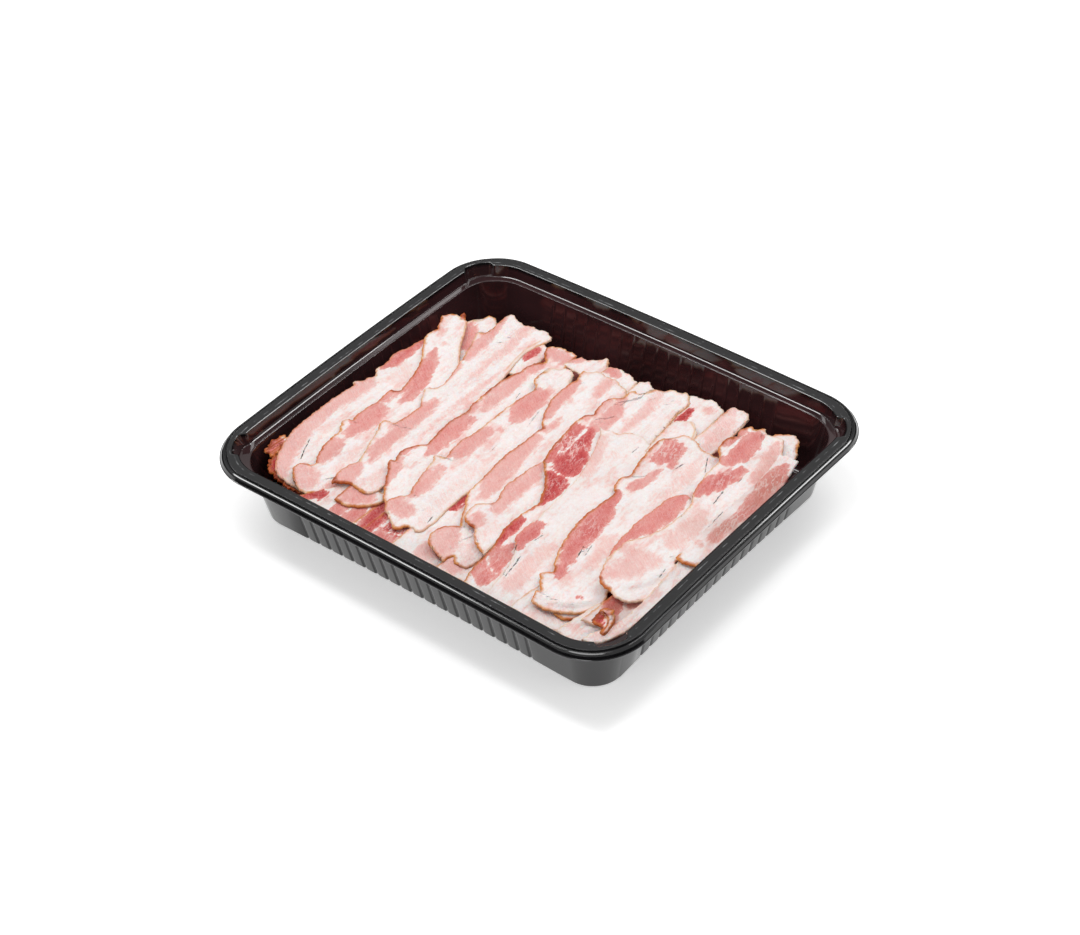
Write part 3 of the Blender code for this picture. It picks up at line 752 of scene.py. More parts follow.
        foot=((90, -63), (94, -63.8), (98, -65.3), (103, -65.5), (108, -62.5)),
        head=((77.5, 76), (80.5, 75), (82.5, 77.5), (84.5, 78.8), (86, 76), (89, 75.5), (92, 77)),
        lean=((0.6, (84, 70, 4.5), (85, 62, 6.3), (85.5, 54, 6), (84, 47, 4)),
              (0.55, (76.5, 70, 1.5), (75.5, 57, 1.8)),
              (0.64, (93, 44, 3.5), (91.5, 38, 5), (89, 31, 5.8), (87.5, 24, 4.5), (87, 18, 2.2)),
              (0.33, (96, 72, 2.5), (98.5, 62, 4.4), (102, 52, 5), (103, 43, 4)),
              (0.23, (97, 6, 4.5), (98, -5, 6), (98, -18, 6)),
              (0.27, (84, -36, 4.5), (92, -38, 8), (90, -48, 8), (86, -55, 4)),
              (0.25, (97, -36, 6))),
        marbled=((0.5, 90, 34, 8),),
        slits=((0.8, (105.8, 57), (107.5, 50)), (0.8, (107.5, 48), (107, 38)),
               (0.7, (97, 38.5), (97, 37)), (0.8, (95.2, 25), (96.5, 17)),
               (0.8, (104, 12), (105, 1)), (0.8, (106, -38), (106.6, -41)),
               (0.6, (85.5, 13), (88, 5), (89, 0))),
        scorched=((0.9, 73, 58, 4), (0.8, 79, 75, 4), (0.8, 75, 49, 2), (1.0, 88, -62.5, 4)),
        rolls=((0.8, 6.0, (97, -55), (103, -48), (105, -40)),)),
    "slice_13": dict(
        layer=13, brown=0.0, lift=-0.3,
        left=((104, -26), (104, 0), (103.5, 20), (104, 40), (103, 55), (101, 66)),
        right=((116.5, -26), (117, 0), (117, 40), (112, 67.5)),
        foot=((108, -27.5),), head=((106, 68),),
        lean=((0.6, (108, 60, 2.5), (110.5, 50, 5), (111, 42, 5.5), (112, 34, 4.5),
               (112.5, 24, 4.5), (113, 14, 3)),
              (0.5, (111.5, 8, 3.5), (111, 2, 4), (112, -5, 3)), (0.4, (108.5, -12, 2))),
        marbled=((0.9, 111, 45, 12), (0.9, 111, 10, 16)),
        # Painted shade: this slice beside the tray's wall is painted brown-grey.
        painted_shade=((0.6, 112, 38, 24), (0.5, 113, 4, 18)),
        scorched=((0.9, 107, -27, 3), (0.9, 112, -27, 3))),
    "far_slice_1": dict(
        layer=1, brown=0.5,
        left=((-82, 24), (-92, 42), (-97, 59), (-93, 63), (-92, 67)),
        right=((-66, 24), (-72, 45), (-80, 66)), head=((-91, 71), (-87, 71), (-84, 68)),
        lean=((0.55, (-92, 58, 2.5), (-88, 50, 3.5), (-84, 42, 4)),),
        scorched=((0.6, -90, 70, 3),)),
    "far_slice_2": dict(
        layer=1, brown=0.9,
        left=((-105, 50), (-103.8, 60), (-103.8, 65)), right=((-96, 50), (-98, 58), (-100.5, 62)),
        lean=((0.6, (-102, 62, 3)),), scorched=((1.0, -102, 65, 3),)),
    "far_slice_3": dict(
        layer=2.8, brown=0.4,
        left=((-56, 38), (-55, 55), (-54, 68)), right=((-43, 38), (-43, 55), (-45, 67)),
        lean=((0.85, (-50.8, 62, 1.6), (-51, 52, 1.6)),), veins=((0.3, (-52, 57), (-49, 57)),)),
    "far_slice_4": dict(
        layer=4, brown=0.4,
        left=((-32, 60), (-31, 66), (-28, 71)), right=((-7, 58), (-8.5, 66), (-11.5, 73)),
        head=((-25, 71), (-22, 72.5), (-19, 75), (-17, 78.5), (-14, 77)),
        lean=((0.4, (-29, 66, 2), (-24, 72, 2)),), scorched=((0.5, -13, 76, 2),)),
    "far_slice_5": dict(
        layer=5, brown=0.4,
        left=((-12.5, 60), (-12, 66), (-11, 73)), right=((10, 60), (9.5, 66), (8.5, 72)),
        head=((-8, 74.5), (-3, 75), (3, 74), (6, 72.5)),
        lean=((0.5, (-8, 71, 3.5), (-4, 70, 3)),)),
    "far_slice_6": dict(
        layer=5, brown=0.4,
        left=((9, 58), (9.3, 66), (9.5, 72)), right=((24, 58), (23, 66), (21, 72)),
        head=((11, 73.5), (13.5, 75.5), (17, 73.5)), lean=((0.2, (16, 66, 2)),)),
    "far_slice_7": dict(
        layer=7.7, brown=0.4,
        left=((39, 42), (37, 60), (37, 77)), right=((61, 42), (61, 60), (60, 78)),
        head=((40, 80), (45, 80), (48.5, 82.5), (53, 81.5), (58, 79.5)),
        lean=((1.0, (44.3, 69, 1.6), (46.3, 62, 2.2), (44, 57, 1.5)), (0.35, (53, 74, 3.5))),
        scorched=((1.0, 45, 66, 2.5), (0.9, 43, 71, 1.5))),
    "far_slice_8": dict(
        layer=9, brown=0.4,
        left=((45, 28), (43, 52), (44, 57)), right=((60, 28), (60, 50), (58.5, 55)),
        head=((47, 59), (50, 61.5), (54, 60)), creases=((0.7, (50, 61), (56, 57), (59, 50)),)),
    "far_slice_9": dict(
        layer=9, brown=0.45,
        left=((58.5, 42), (60, 60), (60, 80)), right=((74.3, 42), (75, 60), (74, 76)),
        head=((61.5, 84), (66, 84), (69, 84.5), (72, 83)),
        lean=((0.25, (62.5, 82, 2.5), (65, 74, 3.5), (67, 62, 4), (69, 50, 4.5)),)),
    "far_slice_10": dict(
        layer=11, brown=0.6,
        left=((88, 54), (89, 68), (91, 78)), right=((112, 54), (112, 64), (110, 70)),
        head=((95, 81.5), (98, 83), (101, 83.5), (104, 81), (107, 76)),
        scorched=((0.8, 93, 81, 3), (0.7, 107, 76, 3))),
    "near_slice_1": dict(
        layer=2.6, brown=0.7,
        left=((-57, -92.5), (-57.5, -85), (-57, -76)), right=((-39, -85.5), (-36, -80), (-39, -74)),
        foot=((-52, -93), (-47, -92), (-42.5, -89)),
        lean=((0.42, (-50, -84, 7), (-44, -82, 5)),),
        scorched=((1.0, -56, -93, 3), (0.8, -44, -90, 3))),
    "near_slice_2": dict(
        layer=2.1, brown=0.3,
        left=((-73, -101), (-66, -90), (-57, -76), (-53, -62)), right=((-28, -101), (-28, -84), (-28, -62)),
        foot=((-42, -102),), 
        lean=((0.9, (-70, -99, 4), (-64, -94, 3)), (0.6, (-52, -88, 3), (-50, -99, 4)), (0.6, (-43, -84, 3), (-41, -98, 5)),
              (0.8, (-35, -80, 3), (-33, -90, 4), (-32, -99, 3))),
        creases=((0.8, (-36, -80), (-37, -100)),)),
    "near_slice_3": dict(
        layer=4.05, brown=0.5,
        left=((-31, -101), (-30, -85), (-29, -66)), right=((-8, -101), (-8, -85), (-8, -66)),
        foot=((-20, -102),), 
        lean=((0.85, (-27, -88, 3), (-27, -99, 3)), (0.9, (-18, -84, 5), (-17, -92, 6)),
              (0.6, (-18, -99, 6))),
        veins=((0.4, (-24, -80), (-25, -101)), (0.3, (-20, -96), (-11, -93))),
        marbled=((0.7, -18, -90, 9),)),
    "near_slice_4": dict(
        layer=4.7, brown=0.5,
        left=((-12, -101), (-12, -84), (-11, -45)), right=((19, -101), (18, -84), (10, -45)),
        foot=((2, -102),), lean=((0.3, (6, -94, 7)), (0.95, (-6, -48, 3), (-5, -62, 3)))),
    "near_slice_5": dict(
        layer=5.7, brown=0.6,
        left=((16.5, -101), (16, -84), (16, -70)), right=((38, -101), (38, -84), (38, -70)),
        foot=((24, -102),), lean=((0.35, (24, -95, 6)),)),
    "near_slice_6": dict(
        layer=9.0, brown=0.4,
        left=((62, -101), (64, -84), (68, -72)), right=((98, -99), (99, -84), (98, -68)),
        foot=((84, -102),), lean=((0.12, (80, -96, 5), (92, -94, 3)),)),
    "near_slice_7": dict(
        layer=9.5, brown=0.95,
        left=((82, -92.3), (81, -84), (81, -72)), right=((96.3, -84), (97.5, -78), (97, -72)),
        foot=((87, -92.8), (91.5, -91), (94.5, -88)), scorched=((1.0, 92, -90, 3), (1.0, 95.5, -84, 3))),
    "near_slice_8": dict(
        layer=11.0, brown=0.5,
        left=((95, -88), (96, -72), (96, -54)), right=((115, -84), (115, -70), (115, -54)),
        
        lean=((0.85, (99, -66, 4), (103, -74, 4)), (0.6, (109, -64, 4)), (0.5, (106, -80, 4))),
        # Painted shade: a brown-grey patch on this piece in the corner beside the tray's wall.
        scorched=((0.9, 102, -70, 4),), painted_shade=((0.7, 104, -70, 14),)),
    "near_slice_9": dict(
        layer=10.3, brown=0.35,
        left=((90, -101), (93, -84), (95, -74)), right=((114, -96), (115, -84), (115, -74)),
        foot=((103, -101),), lean=((0.3, (97, -94, 3)),)),
    "near_slice_10": dict(
        layer=12.3, brown=0.3,
        left=((103, -98), (104.5, -91), (109, -83), (110.5, -72), (110.5, -60), (107, -24)),
        right=((112, -94), (116, -84), (117.5, -72), (117.5, -60), (117.5, -24)),
        foot=((108, -97),), lean=((0.2, (112, -80, 2), (109, -92, 2)),)),
    "curled_scrap": dict(
        layer=12.2, brown=1.0, lift=1.4,
        left=((100, -86), (98, -80), (98.5, -75)), right=((110, -90), (109.5, -82), (106, -75.5)),
        foot=((105, -86), (108, -90)), head=((102, -73.5),),
        rag=0.8, lean=((0.98, (101.5, -83, 3.2), (104.5, -86.5, 2.4)), (0.5, (103, -77, 1.2))),
        rolls=((2.0, 2.8, (99, -77), (104, -76), (107.5, -81), (108.5, -88)),),
        creases=((1.0, (100.5, -77.5), (104.5, -79), (107, -83), (107.8, -88)),
                 (0.8, (100, -84), (103, -80.5))),
        scorched=((1.0, 107, -87, 3), (1.0, 101, -75, 2), (1.0, 108, -80, 2))),
    "left_scrap_1": dict(
        layer=0.5, brown=1.0, rag=0.9,
        left=((-110.5, -86), (-112.8, -77), (-111.5, -70)), right=((-103.5, -86), (-105.5, -77), (-106, -70)),
        lean=((0.75, (-109, -76, 2.5), (-106, -84, 2)),),
        creases=((1.0, (-110, -85), (-109.8, -78), (-109, -72)), (0.9, (-107, -84), (-106.5, -76))),
        scorched=((1.0, -110, -78, 3), (1.0, -106, -85, 2))),
    "left_scrap_2": dict(
        layer=0.5, brown=1.0, rag=0.9,
        left=((-102, -93), (-104, -88), (-104, -84)), right=((-72, -99.5), (-74, -92), (-80, -84)),
        foot=((-96, -96.5), (-84, -99.5)), lean=((0.98, (-100, -90, 5), (-92, -94, 5), (-78, -96, 6)),),
        scorched=((1.0, -102, -91, 3), (1.0, -92, -96, 4), (1.0, -80, -99, 4))),
}


def make_hidden_stack(material):
    """The lower slices as one block whose sides show their layers."""
    left, right, front, back = -103.5, 107.0, -92.5, 77.0
    corner = 14.0
    count = 420
    angles = np.linspace(0, 2 * math.pi, count, endpoint=False)
    outline = np.column_stack([np.cos(angles), np.sin(angles)])
    power = np.abs(outline) ** 0.16 * np.sign(outline)
    centre = np.array(((left + right) / 2, (front + back) / 2))
    half = np.array(((right - left) / 2, (back - front) / 2))
    ring = centre + power * half
    run = np.concatenate([[0], np.cumsum(np.linalg.norm(np.diff(ring, axis=0), axis=1))])
    outward = outline / np.linalg.norm(outline, axis=1)[:, None]
    rng = np.random.default_rng(7)
    floor = 1.4

    def top(x, y):
        return heap_height(x, y) - 12.4 - 3.7 * smooth((x - 60.0) / 35.0)

    rows = 44
    points = []
    for row in range(rows + 1):
        part = row / rows
        base = ring * (0.945 + 0.055 * part)
        high = top(base[:, 0], base[:, 1])
        z = floor + (high - floor) * part
        place = z / LAYER_STEP + 0.18 * np.sin(run / 31.0)
        layer = np.floor(place)
        within = place - layer
        bulge = 1.0 * np.sqrt(np.clip(1 - (2 * within - 1) ** 2, 0, 1)) - 1.0
        ragged = 0.9 * np.sin(run / 9.0 + layer * 2.4) + 0.6 * np.sin(run / 4.1 + layer * 5.1)
        shifted = base + outward * (bulge + ragged)[:, None]
        points.append(np.column_stack([shifted, z]))
    caps = []
    for share in np.linspace(0.9, 0.1, 9):
        x = centre[0] + (ring[:, 0] - centre[0]) * share
        y = centre[1] + (ring[:, 1] - centre[1]) * share
        caps.append(np.column_stack([x, y, top(x, y) + 0.5 * np.sin(x / 6.0)]))
    levels = points + caps
    faces = []
    for number in range(len(levels) - 1):
        a, b = number * count, (number + 1) * count
        faces += [(a + i, a + (i + 1) % count, b + (i + 1) % count, b + i) for i in range(count)]
    vertices = np.vstack(levels)
    last = (len(levels) - 1) * count
    hub = len(vertices)
    middle = (centre[0], centre[1], top(centre[0], centre[1]))
    bottom = (centre[0], centre[1], floor)
    vertices = np.vstack([vertices, middle, bottom])
    faces += [(last + i, last + (i + 1) % count, hub) for i in range(count)]
    faces += [((i + 1) % count, i, hub + 1) for i in range(count)]
    piece = make_piece("lower_slices", vertices, faces, material)
    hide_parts("hidden_stack")
    return piece


# ---- Materials ----

def thermoformed_plastic():
    """Black PET sheet, vacuum formed over a tool: near black, glossy on the walls, duller
    on the rim, where the sealing head has left a faint chalky line and specks. Below the rim
    the inner walls are painted reddish brown in blotches, a painted reflection of the meat.
    The clear sealing layer laminated on the sheet gives thin sharp highlights along the
    formed edges."""
    material, tree, shader = new_material("black thermoformed PET sheet", 0.2, 1.5)
    shader.inputs["Coat Weight"].default_value = 0.5
    shader.inputs["Coat Roughness"].default_value = 0.04
    shader.inputs["Coat IOR"].default_value = 1.45
    place = add(tree, "TexCoord", out="Object")
    inset = add(tree, "Attribute", out="Fac", attribute_name="inset")
    depth = add(tree, "Attribute", out="Fac", attribute_name="depth")
    cloud = add(tree, "TexNoise", {"Vector": place, "Scale": 90.0, "Detail": 3.0}, out="Fac")
    fine = add(tree, "TexNoise", {"Vector": place, "Scale": 700.0, "Detail": 2.0}, out="Fac")
    on_top = add(tree, "MapRange", {"Value": depth, "From Min": 0.5, "From Max": 0.1})
    inner = add(tree, "MapRange", {"Value": inset, "From Min": 9.3, "From Max": 8.6})
    outer = add(tree, "MapRange", {"Value": inset, "From Min": 3.0, "From Max": 4.0})
    rim = add(tree, "Math", (on_top, inner), operation="MULTIPLY")
    rim = add(tree, "Math", (rim, outer), operation="MULTIPLY")
    wander = add(tree, "TexNoise", {"Vector": place, "Scale": 22.0, "Detail": 1.0}, out="Fac")
    line = add(tree, "Math", (wander, 2.2, 5.9), operation="MULTIPLY_ADD")
    gap = add(tree, "Math", (inset, line), operation="SUBTRACT")
    gap = add(tree, "Math", (gap,), operation="ABSOLUTE")
    seal = add(tree, "MapRange", {"Value": gap, "From Min": 0.32, "From Max": 0.05})
    broken = add(tree, "TexNoise", {"Vector": place, "Scale": 160.0, "Detail": 4.0,
                                    "Roughness": 0.7}, out="Fac")
    broken = add(tree, "MapRange", {"Value": broken, "From Min": 0.5, "From Max": 0.66})
    seal = add(tree, "Math", (seal, broken), operation="MULTIPLY")
    cells = add(tree, "TexVoronoi", {"Vector": place, "Scale": 260.0}, out="Distance")
    specks = add(tree, "MapRange", {"Value": cells, "From Min": 0.16, "From Max": 0.06})
    sparse = add(tree, "TexNoise", {"Vector": place, "Scale": 120.0, "Detail": 2.0}, out="Fac")
    sparse = add(tree, "MapRange", {"Value": sparse, "From Min": 0.58, "From Max": 0.7})
    specks = add(tree, "Math", (specks, sparse), operation="MULTIPLY")
    chalk = add(tree, "Math", (seal, specks), operation="MAXIMUM")
    chalk = add(tree, "Math", (chalk, rim), operation="MULTIPLY")
    chalk = add(tree, "Math", (chalk, 0.55), operation="MULTIPLY")
    black = add(tree, "Mix", {"Factor": cloud, "A": linear("0a0a0b"), "B": linear("151416")},
                out=2, data_type="RGBA")
    # Painted reflection: below the rim the inner walls are painted reddish brown, in blotches, for the meat
    # they reflect.
    inner_face = add(tree, "Attribute", out="Fac", attribute_name="inner")
    below = add(tree, "MapRange", {"Value": depth, "From Min": 0.8, "From Max": 2.6})
    within = add(tree, "MapRange", {"Value": inset, "From Min": 9.2, "From Max": 9.5})
    painted_reflection = add(tree, "Math", (inner_face, below), operation="MULTIPLY")
    painted_reflection = add(tree, "Math", (painted_reflection, within), operation="MULTIPLY")
    reflection_blotches = add(tree, "TexNoise", {"Vector": place, "Scale": 28.0, "Detail": 2.0}, out="Fac")
    reflection_blotches = add(tree, "MapRange", {"Value": reflection_blotches, "From Min": 0.3, "From Max": 0.7,
                                   "To Min": 0.35, "To Max": 1.0})
    painted_reflection = add(tree, "Math", (painted_reflection, reflection_blotches), operation="MULTIPLY")
    black = add(tree, "Mix", {"Factor": painted_reflection, "A": black, "B": linear("42282a")},
                out=2, data_type="RGBA")
    colour = add(tree, "Mix", {"Factor": chalk, "A": black, "B": linear("b9bbbd")},
                 out=2, data_type="RGBA")
    rough = add(tree, "MapRange", {"Value": rim, "To Min": 0.04, "To Max": 0.26})
    rough = add(tree, "Math", (cloud, 0.08, rough), operation="MULTIPLY_ADD")
    tooth = add(tree, "Math", (rim, fine), operation="MULTIPLY")
    bump = add(tree, "Bump", {"Height": tooth, "Strength": 0.15, "Distance": 0.0004},
               out="Normal")
    tree.links.new(colour, shader.inputs["Base Color"])
    tree.links.new(rough, shader.inputs["Roughness"])
    tree.links.new(bump, shader.inputs["Normal"])
    return material


def raw_bacon():
    """Cured and smoked pork belly, machine sliced: waxy white fat, moist pink to red lean
    with fine slanting fibres, thin tan or brown smoked edges, and small dark slits.
    Patterns are drawn in the slice's own millimetres."""
    material, tree, shader = new_material("raw smoked bacon, sliced", 0.42, 1.42)
    read = {name: add(tree, "Attribute", out="Fac", attribute_name=name)
            for name in ("reach", "tone", "edge", "brown", "slit", "slit_amount", "crease",
                         "crease_amount", "marbled", "painted_shade")}
    place = add(tree, "Attribute", out="Vector", attribute_name="place")

    # Noise stretched to a length and width in millimetres, turned by an angle.
    stretched = {}
    for name, length, width, angle, detail in (
            ("flame", 2.2, 8.0, 0.0, 4.0), ("fibre", 5.5, 0.55, -0.6, 3.0),
            ("strand", 2.6, 34.0, 0.06, 2.0), ("vein", 2.6, 8.5, 0.25, 4.0),
            ("mottle", 1.8, 2.4, 0.0, 4.0), ("fine", 0.5, 0.6, 0.0, 3.0),
            ("cloud", 8.0, 17.0, 0.1, 3.0)):
        spot = add(tree, "Mapping", {"Vector": place, "Rotation": (0.0, 0.0, angle),
                                     "Scale": (length, width, 1.0)}, vector_type="TEXTURE")
        stretched[name] = add(tree, "TexNoise", {"Vector": spot, "Scale": 1.0, "Detail": detail,
                                                 "Roughness": 0.6}, out="Fac")
    flame, fibre, strand, mottle, fine, cloud = (
        stretched[name] for name in ("flame", "fibre", "strand", "mottle", "fine", "cloud"))

    # The border between lean and fat wanders, more along the slice, and is soft where pale.
    wander = add(tree, "Math", (flame, 7.0, -3.5), operation="MULTIPLY_ADD")
    wander = add(tree, "Math", (mottle, 2.4, wander), operation="MULTIPLY_ADD")
    wander = add(tree, "Math", (fine, 0.9, wander), operation="MULTIPLY_ADD")
    reach = add(tree, "Math", (read["reach"], wander), operation="ADD")
    reach = add(tree, "Math", (reach, 1.4), operation="SUBTRACT")
    soft = add(tree, "MapRange", {"Value": read["tone"], "From Min": 0.15, "From Max": 0.6,
                                  "To Min": 3.4, "To Max": 0.9})
    lean = add(tree, "Math", (reach, soft), operation="DIVIDE")
    lean = add(tree, "MapRange", {"Value": lean, "From Min": -0.6, "From Max": 0.8},
               interpolation_type="SMOOTHSTEP")

    # Depth of colour: the streak's own, paler at its border, with fibres and mottling.
    swing = add(tree, "Math", (fibre, 0.46, -0.23), operation="MULTIPLY_ADD")
    swing = add(tree, "Math", (mottle, 0.3, swing), operation="MULTIPLY_ADD")
    swing = add(tree, "Math", (cloud, 0.35, swing), operation="MULTIPLY_ADD")
    swing = add(tree, "Math", (fine, 0.4, swing), operation="MULTIPLY_ADD")
    swing = add(tree, "Math", (swing, 0.525), operation="SUBTRACT")
    core = add(tree, "MapRange", {"Value": reach, "From Min": 0.0, "From Max": 3.5,
                                  "To Min": 0.84, "To Max": 1.06})
    deep = add(tree, "Math", (read["tone"], core), operation="MULTIPLY")
    deep = add(tree, "Math", (swing, 0.8, deep), operation="MULTIPLY_ADD")
    blush = add(tree, "MapRange", {"Value": strand, "From Min": 0.5, "From Max": 0.75,
                                   "To Min": 0.0, "To Max": 0.09})
    haze = add(tree, "MapRange", {"Value": cloud, "From Min": 0.5, "From Max": 0.68,
                                  "To Min": 0.0, "To Max": 0.36})
    haze = add(tree, "Math", (haze, flame), operation="MULTIPLY")
    blush = add(tree, "Math", (blush, haze), operation="ADD")
    grain = add(tree, "MapRange", {"Value": mottle, "From Min": 0.4, "From Max": 0.7,
                                   "To Min": 0.0, "To Max": 0.12})
    blush = add(tree, "Math", (blush, grain), operation="ADD")
    grit = add(tree, "MapRange", {"Value": fine, "From Min": 0.5, "From Max": 0.7,
                                  "To Min": 0.0, "To Max": 0.06})
    blush = add(tree, "Math", (blush, grit), operation="ADD")
    tone = add(tree, "Mix", {"Factor": lean, "A": blush, "B": deep})
    colour = add(tree, "ValToRGB", (tone,), stops=(
        (0.0, "fdf6f5"), (1.0, "b22c2e"), (0.1, "faebe8"), (0.22, "f7d4ce"), (0.4, "eeb4ad"),
        (0.58, "e6968f"), (0.74, "da736f"), (0.88, "cc4c4c")))

    # Marbling: thin pale veins of fat that wander through the lean.
    vein = add(tree, "Math", (stretched["vein"], 0.5), operation="SUBTRACT")
    vein = add(tree, "Math", (vein,), operation="ABSOLUTE")
    vein = add(tree, "MapRange", {"Value": vein, "From Min": 0.035, "From Max": 0.006})
    veined = add(tree, "Math", (read["marbled"], 0.14), operation="ADD")
    vein = add(tree, "Math", (vein, veined), operation="MULTIPLY")
    vein = add(tree, "Math", (vein, lean), operation="MULTIPLY", use_clamp=True)
    colour = add(tree, "Mix", {"Factor": vein, "A": colour, "B": linear("f6e0db")},
                 out=2, data_type="RGBA")

    # Small pale flecks on the lean: fat between its fibres, and painted highlights that stand for wet glints.
    cells = add(tree, "TexVoronoi", {"Vector": place, "Scale": 0.85}, out="Distance")
    flecks_and_glints = add(tree, "MapRange", {"Value": cells, "From Min": 0.2, "From Max": 0.08})
    some = add(tree, "MapRange", {"Value": mottle, "From Min": 0.5, "From Max": 0.58})
    flecks_and_glints = add(tree, "Math", (flecks_and_glints, some), operation="MULTIPLY")
    flecks_and_glints = add(tree, "Math", (flecks_and_glints, 0.7), operation="MULTIPLY")
    colour = add(tree, "Mix", {"Factor": flecks_and_glints, "A": colour, "B": linear("fdf3ef")},
                 out=2, data_type="RGBA")

    # Smoked edge: a thin line, tan on fat and red-brown on lean, broader where scorched,
    # with a faint stain that fades inward.
    width = add(tree, "Math", (read["brown"], 1.6, 0.95), operation="MULTIPLY_ADD")
    ragged = add(tree, "Math", (mottle, 2.6, -1.3), operation="MULTIPLY_ADD")
    ragged = add(tree, "Math", (fine, 0.7, ragged), operation="MULTIPLY_ADD")
    rim = add(tree, "Math", (read["edge"], ragged), operation="ADD")
    line = add(tree, "Math", (rim, width), operation="DIVIDE")
    smoked = add(tree, "MapRange", {"Value": line, "From Min": 1.15, "From Max": 0.35},
                 interpolation_type="SMOOTHSTEP")
    strong = add(tree, "MapRange", {"Value": read["brown"], "From Min": 0.0, "From Max": 0.6})
    smoked = add(tree, "Math", (smoked, strong), operation="MULTIPLY")
    crease = add(tree, "Math", (read["crease"],), operation="ABSOLUTE")
    crease = add(tree, "MapRange", {"Value": crease, "From Min": 0.9, "From Max": 0.2})
    crease = add(tree, "Math", (crease, read["crease_amount"]), operation="MULTIPLY")
    smoked = add(tree, "Math", (smoked, crease), operation="MAXIMUM")
    stain = add(tree, "MapRange", {"Value": rim, "From Min": 3.2, "From Max": 0.0})
    stain = add(tree, "Math", (stain, read["brown"]), operation="MULTIPLY")
    stain = add(tree, "Math", (stain, 0.42), operation="MULTIPLY")
    colour = add(tree, "Mix", {"Factor": stain, "A": colour, "B": linear("dd9064")},
                 out=2, data_type="RGBA")
    # Painted shade: brown-grey patches, broken up by the cloud noise, on slices beside the tray's wall.
    painted_shade_mix = add(tree, "Math", (cloud, 1.6, -0.2), operation="MULTIPLY_ADD")
    painted_shade_mix = add(tree, "Math", (painted_shade_mix, read["painted_shade"]), operation="MULTIPLY", use_clamp=True)
    colour = add(tree, "Mix", {"Factor": painted_shade_mix, "A": colour, "B": linear("ab7560")},
                 out=2, data_type="RGBA")
    darker = add(tree, "Math", (lean, 0.45, read["brown"]), operation="MULTIPLY_ADD")
    darker = add(tree, "Math", (flame, 1.2, darker), operation="MULTIPLY_ADD")
    darker = add(tree, "Math", (darker, 0.4), operation="SUBTRACT")
    crust = add(tree, "ValToRGB", (add(tree, "Math", (darker, 0.5), operation="MULTIPLY"),),
                stops=((0.1, "f0d6ae"), (0.95, "85300f"), (0.36, "e09a5a"), (0.6, "cb7032"),
                       (0.78, "b0501c")))
    colour = add(tree, "Mix", {"Factor": smoked, "A": colour, "B": crust},
                 out=2, data_type="RGBA")

    # Slits: short dark breaks along a line.
    slit = add(tree, "Math", (read["slit"],), operation="ABSOLUTE")
    slit = add(tree, "Math", (mottle, 2.0, slit), operation="MULTIPLY_ADD")
    slit = add(tree, "MapRange", {"Value": slit, "From Min": 1.3, "From Max": 1.12})
    slit = add(tree, "Math", (slit, read["slit_amount"]), operation="MULTIPLY")
    colour = add(tree, "Mix", {"Factor": slit, "A": colour, "B": linear("1f0d08")},
                 out=2, data_type="RGBA")

    rough = add(tree, "MapRange", {"Value": mottle, "From Min": 0.35, "From Max": 0.65,
                                   "To Min": 0.26, "To Max": 0.5})
    height = add(tree, "Math", (fine, 0.6, mottle), operation="MULTIPLY_ADD")
    height = add(tree, "Math", (fibre, 0.5, height), operation="MULTIPLY_ADD")
    height = add(tree, "Math", (strand, 0.3, height), operation="MULTIPLY_ADD")
    height = add(tree, "Math", (slit, -1.0, height), operation="MULTIPLY_ADD")
    bump = add(tree, "Bump", {"Height": height, "Strength": 0.8, "Distance": 0.0008},
               out="Normal")
    tree.links.new(colour, shader.inputs["Base Color"])
    tree.links.new(rough, shader.inputs["Roughness"])
    tree.links.new(bump, shader.inputs["Normal"])
    shader.inputs["Subsurface Weight"].default_value = 0.3
    shader.inputs["Subsurface Radius"].default_value = (1.0, 0.4, 0.3)
    shader.inputs["Subsurface Scale"].default_value = 0.002
    return material


def raw_bacon_in_shade():
    """The same meat lower in the stack: wet, deep red lean with pale layers of fat."""
    material, tree, shader = new_material("raw smoked bacon, lower slices", 0.35, 1.42)
    place = add(tree, "TexCoord", out="Object")
    layers = add(tree, "Mapping", {"Vector": place, "Scale": (60.0, 60.0, 390.0)})
    bands = add(tree, "TexNoise", {"Vector": layers, "Scale": 1.0, "Detail": 3.0}, out="Fac")
    cloud = add(tree, "TexNoise", {"Vector": place, "Scale": 450.0, "Detail": 3.0}, out="Fac")
    tone = add(tree, "Math", (cloud, 0.3, bands), operation="MULTIPLY_ADD")
    colour = add(tree, "ValToRGB", (tone,), stops=(
        (0.3, "a8261c"), (0.95, "e9c9c2"), (0.55, "c43c30"), (0.72, "d4776c")))
    bump = add(tree, "Bump", {"Height": cloud, "Strength": 0.4, "Distance": 0.0006}, out="Normal")
    tree.links.new(colour, shader.inputs["Base Color"])
    tree.links.new(bump, shader.inputs["Normal"])
    return material


def studio_floor():
    """Sheet of matt opal acrylic, lit softly from beneath as on a light table, which opens up
    the shadows; it has a very faint tooth."""
    material, tree, shader = new_material("opal acrylic light table", 0.9, 1.45)
    shader.inputs["Emission Color"].default_value = (1.0, 1.0, 1.0, 1.0)
    shader.inputs["Emission Strength"].default_value = 0.42
    place = add(tree, "TexCoord", out="Object")
    tooth = add(tree, "TexNoise", {"Vector": place, "Scale": 300.0, "Detail": 2.0}, out="Fac")
    colour = add(tree, "Mix", {"Factor": tooth, "A": linear("f4f4f4"), "B": linear("f8f8f8")},
                 out=2, data_type="RGBA")
    tree.links.new(colour, shader.inputs["Base Color"])
    return material


# ---- Stage ----

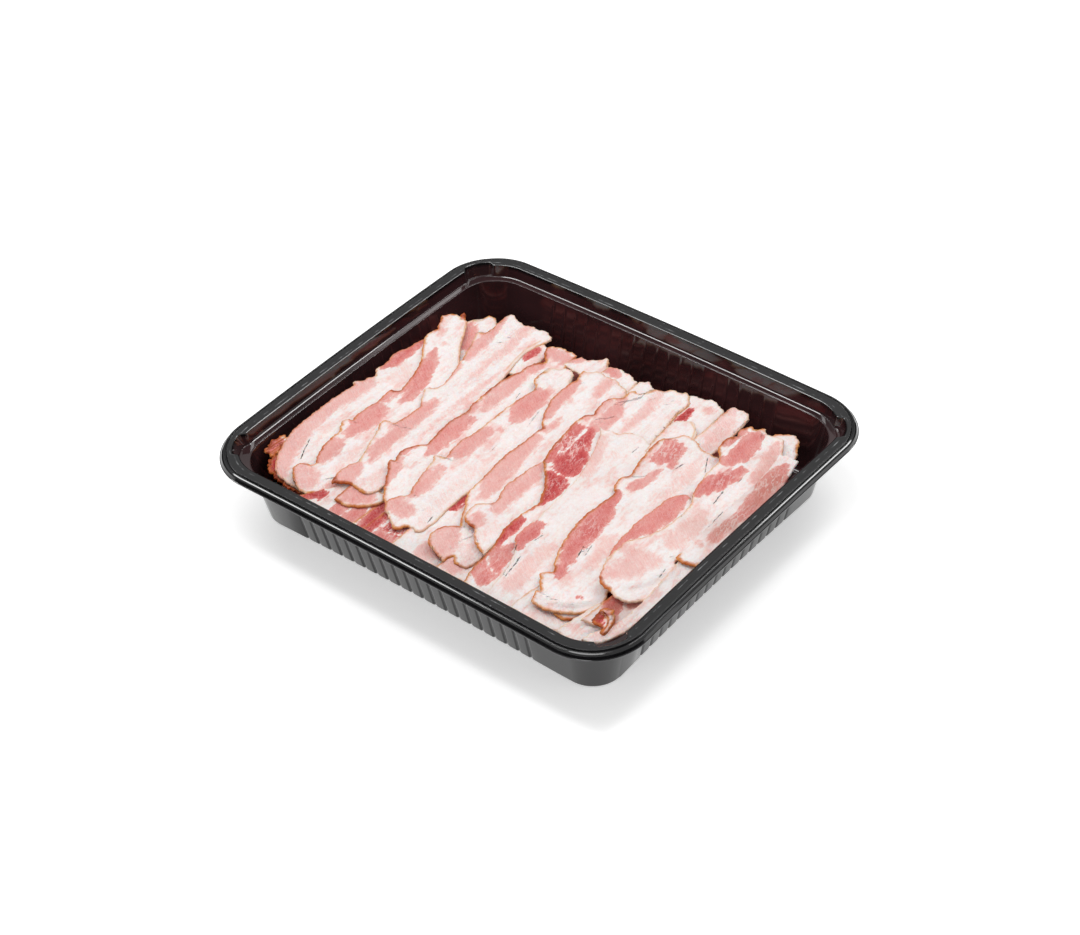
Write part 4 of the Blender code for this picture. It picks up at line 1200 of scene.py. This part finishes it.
def make_floor():
    half = 3.0
    mesh = bpy.data.meshes.new("paper_floor")
    corners = ((-half, -half, 0), (half, -half, 0), (half, half, 0), (-half, half, 0))
    mesh.from_pydata(corners, [], [(0, 1, 2, 3)])
    mesh.materials.append(studio_floor())
    floor = bpy.data.objects.new("paper_floor", mesh)
    floor.location.z = LOW[2] - 0.0002
    bpy.context.scene.collection.objects.link(floor)


def make_softbox(name, direction, distance, length, width, watts):
    """A softbox that faces the pack, its length level."""
    light = bpy.data.lights.new(name, "AREA")
    light.shape = "RECTANGLE"
    light.size = length
    light.size_y = width
    light.energy = watts
    item = bpy.data.objects.new(name, light)
    way = Vector(direction).normalized()
    item.location = way * distance
    item.rotation_euler = way.to_track_quat("Z", "Y").to_euler()
    bpy.context.scene.collection.objects.link(item)


def make_world(low, high):
    """White studio: dim near the horizon, bright overhead."""
    world = bpy.data.worlds.new("white studio")
    world.use_nodes = True
    tree = world.node_tree
    way = add(tree, "TexCoord", out="Generated")
    up = add(tree, "SeparateXYZ", (way,), out=2)
    strength = add(tree, "MapRange", {"Value": up, "From Min": 0.22, "From Max": 0.6,
                                      "To Min": low, "To Max": high})
    tree.links.new(strength, tree.nodes["Background"].inputs["Strength"])
    tree.nodes["Background"].inputs["Color"].default_value = (1.0, 1.0, 1.0, 1.0)
    bpy.context.scene.world = world


def make_camera():
    """Looks down at the near corner of the pack, leaning a little to one side."""
    azimuth, elevation, roll = (math.radians(a) for a in (40.3, 40.13, -2.64))
    target = Vector((17.03, -20.26, 42.7)) * MM
    distance = 1209.13 * MM
    back = Vector((math.sin(azimuth) * math.cos(elevation),
                   -math.cos(azimuth) * math.cos(elevation), math.sin(elevation)))
    right = Vector((math.cos(azimuth), math.sin(azimuth), 0.0))
    up = back.cross(right)
    side = right * math.cos(roll) + up * math.sin(roll)
    upward = up * math.cos(roll) - right * math.sin(roll)
    data = bpy.data.cameras.new("camera")
    data.sensor_width = 36.0
    data.sensor_fit = "HORIZONTAL"
    data.lens = 81.63
    data.clip_start = 0.01
    camera = bpy.data.objects.new("camera", data)
    turned = Matrix((side, upward, back)).transposed().to_4x4()
    camera.matrix_world = Matrix.Translation(target + back * distance) @ turned
    bpy.context.scene.collection.objects.link(camera)
    bpy.context.scene.camera = camera


def build():
    make_tray(thermoformed_plastic())
    bacon = raw_bacon()
    for name, spec in SLICES.items():
        make_slice(name, spec, bacon)
    make_hidden_stack(raw_bacon_in_shade())
    make_floor()
    make_world(0.02, 0.53)
    make_softbox("left strip", (-0.5, -0.08, 0.86), 1.6, 0.2, 1.0, 7.0)
    make_softbox("back strip", (0.14, 0.58, 0.8), 1.6, 0.2, 1.0, 7.0)
    make_softbox("top softbox", (-0.05, 0.0, 1.0), 1.6, 0.5, 0.4, 3.0)
    make_softbox("front fill", (0.1, -0.8, 0.5), 2.2, 1.6, 0.7, 7.0)
    make_softbox("right fill", (0.8, 0.3, 0.45), 2.2, 1.2, 0.6, 4.0)
    make_camera()
    bpy.context.scene.view_settings.view_transform = "Standard"


build()
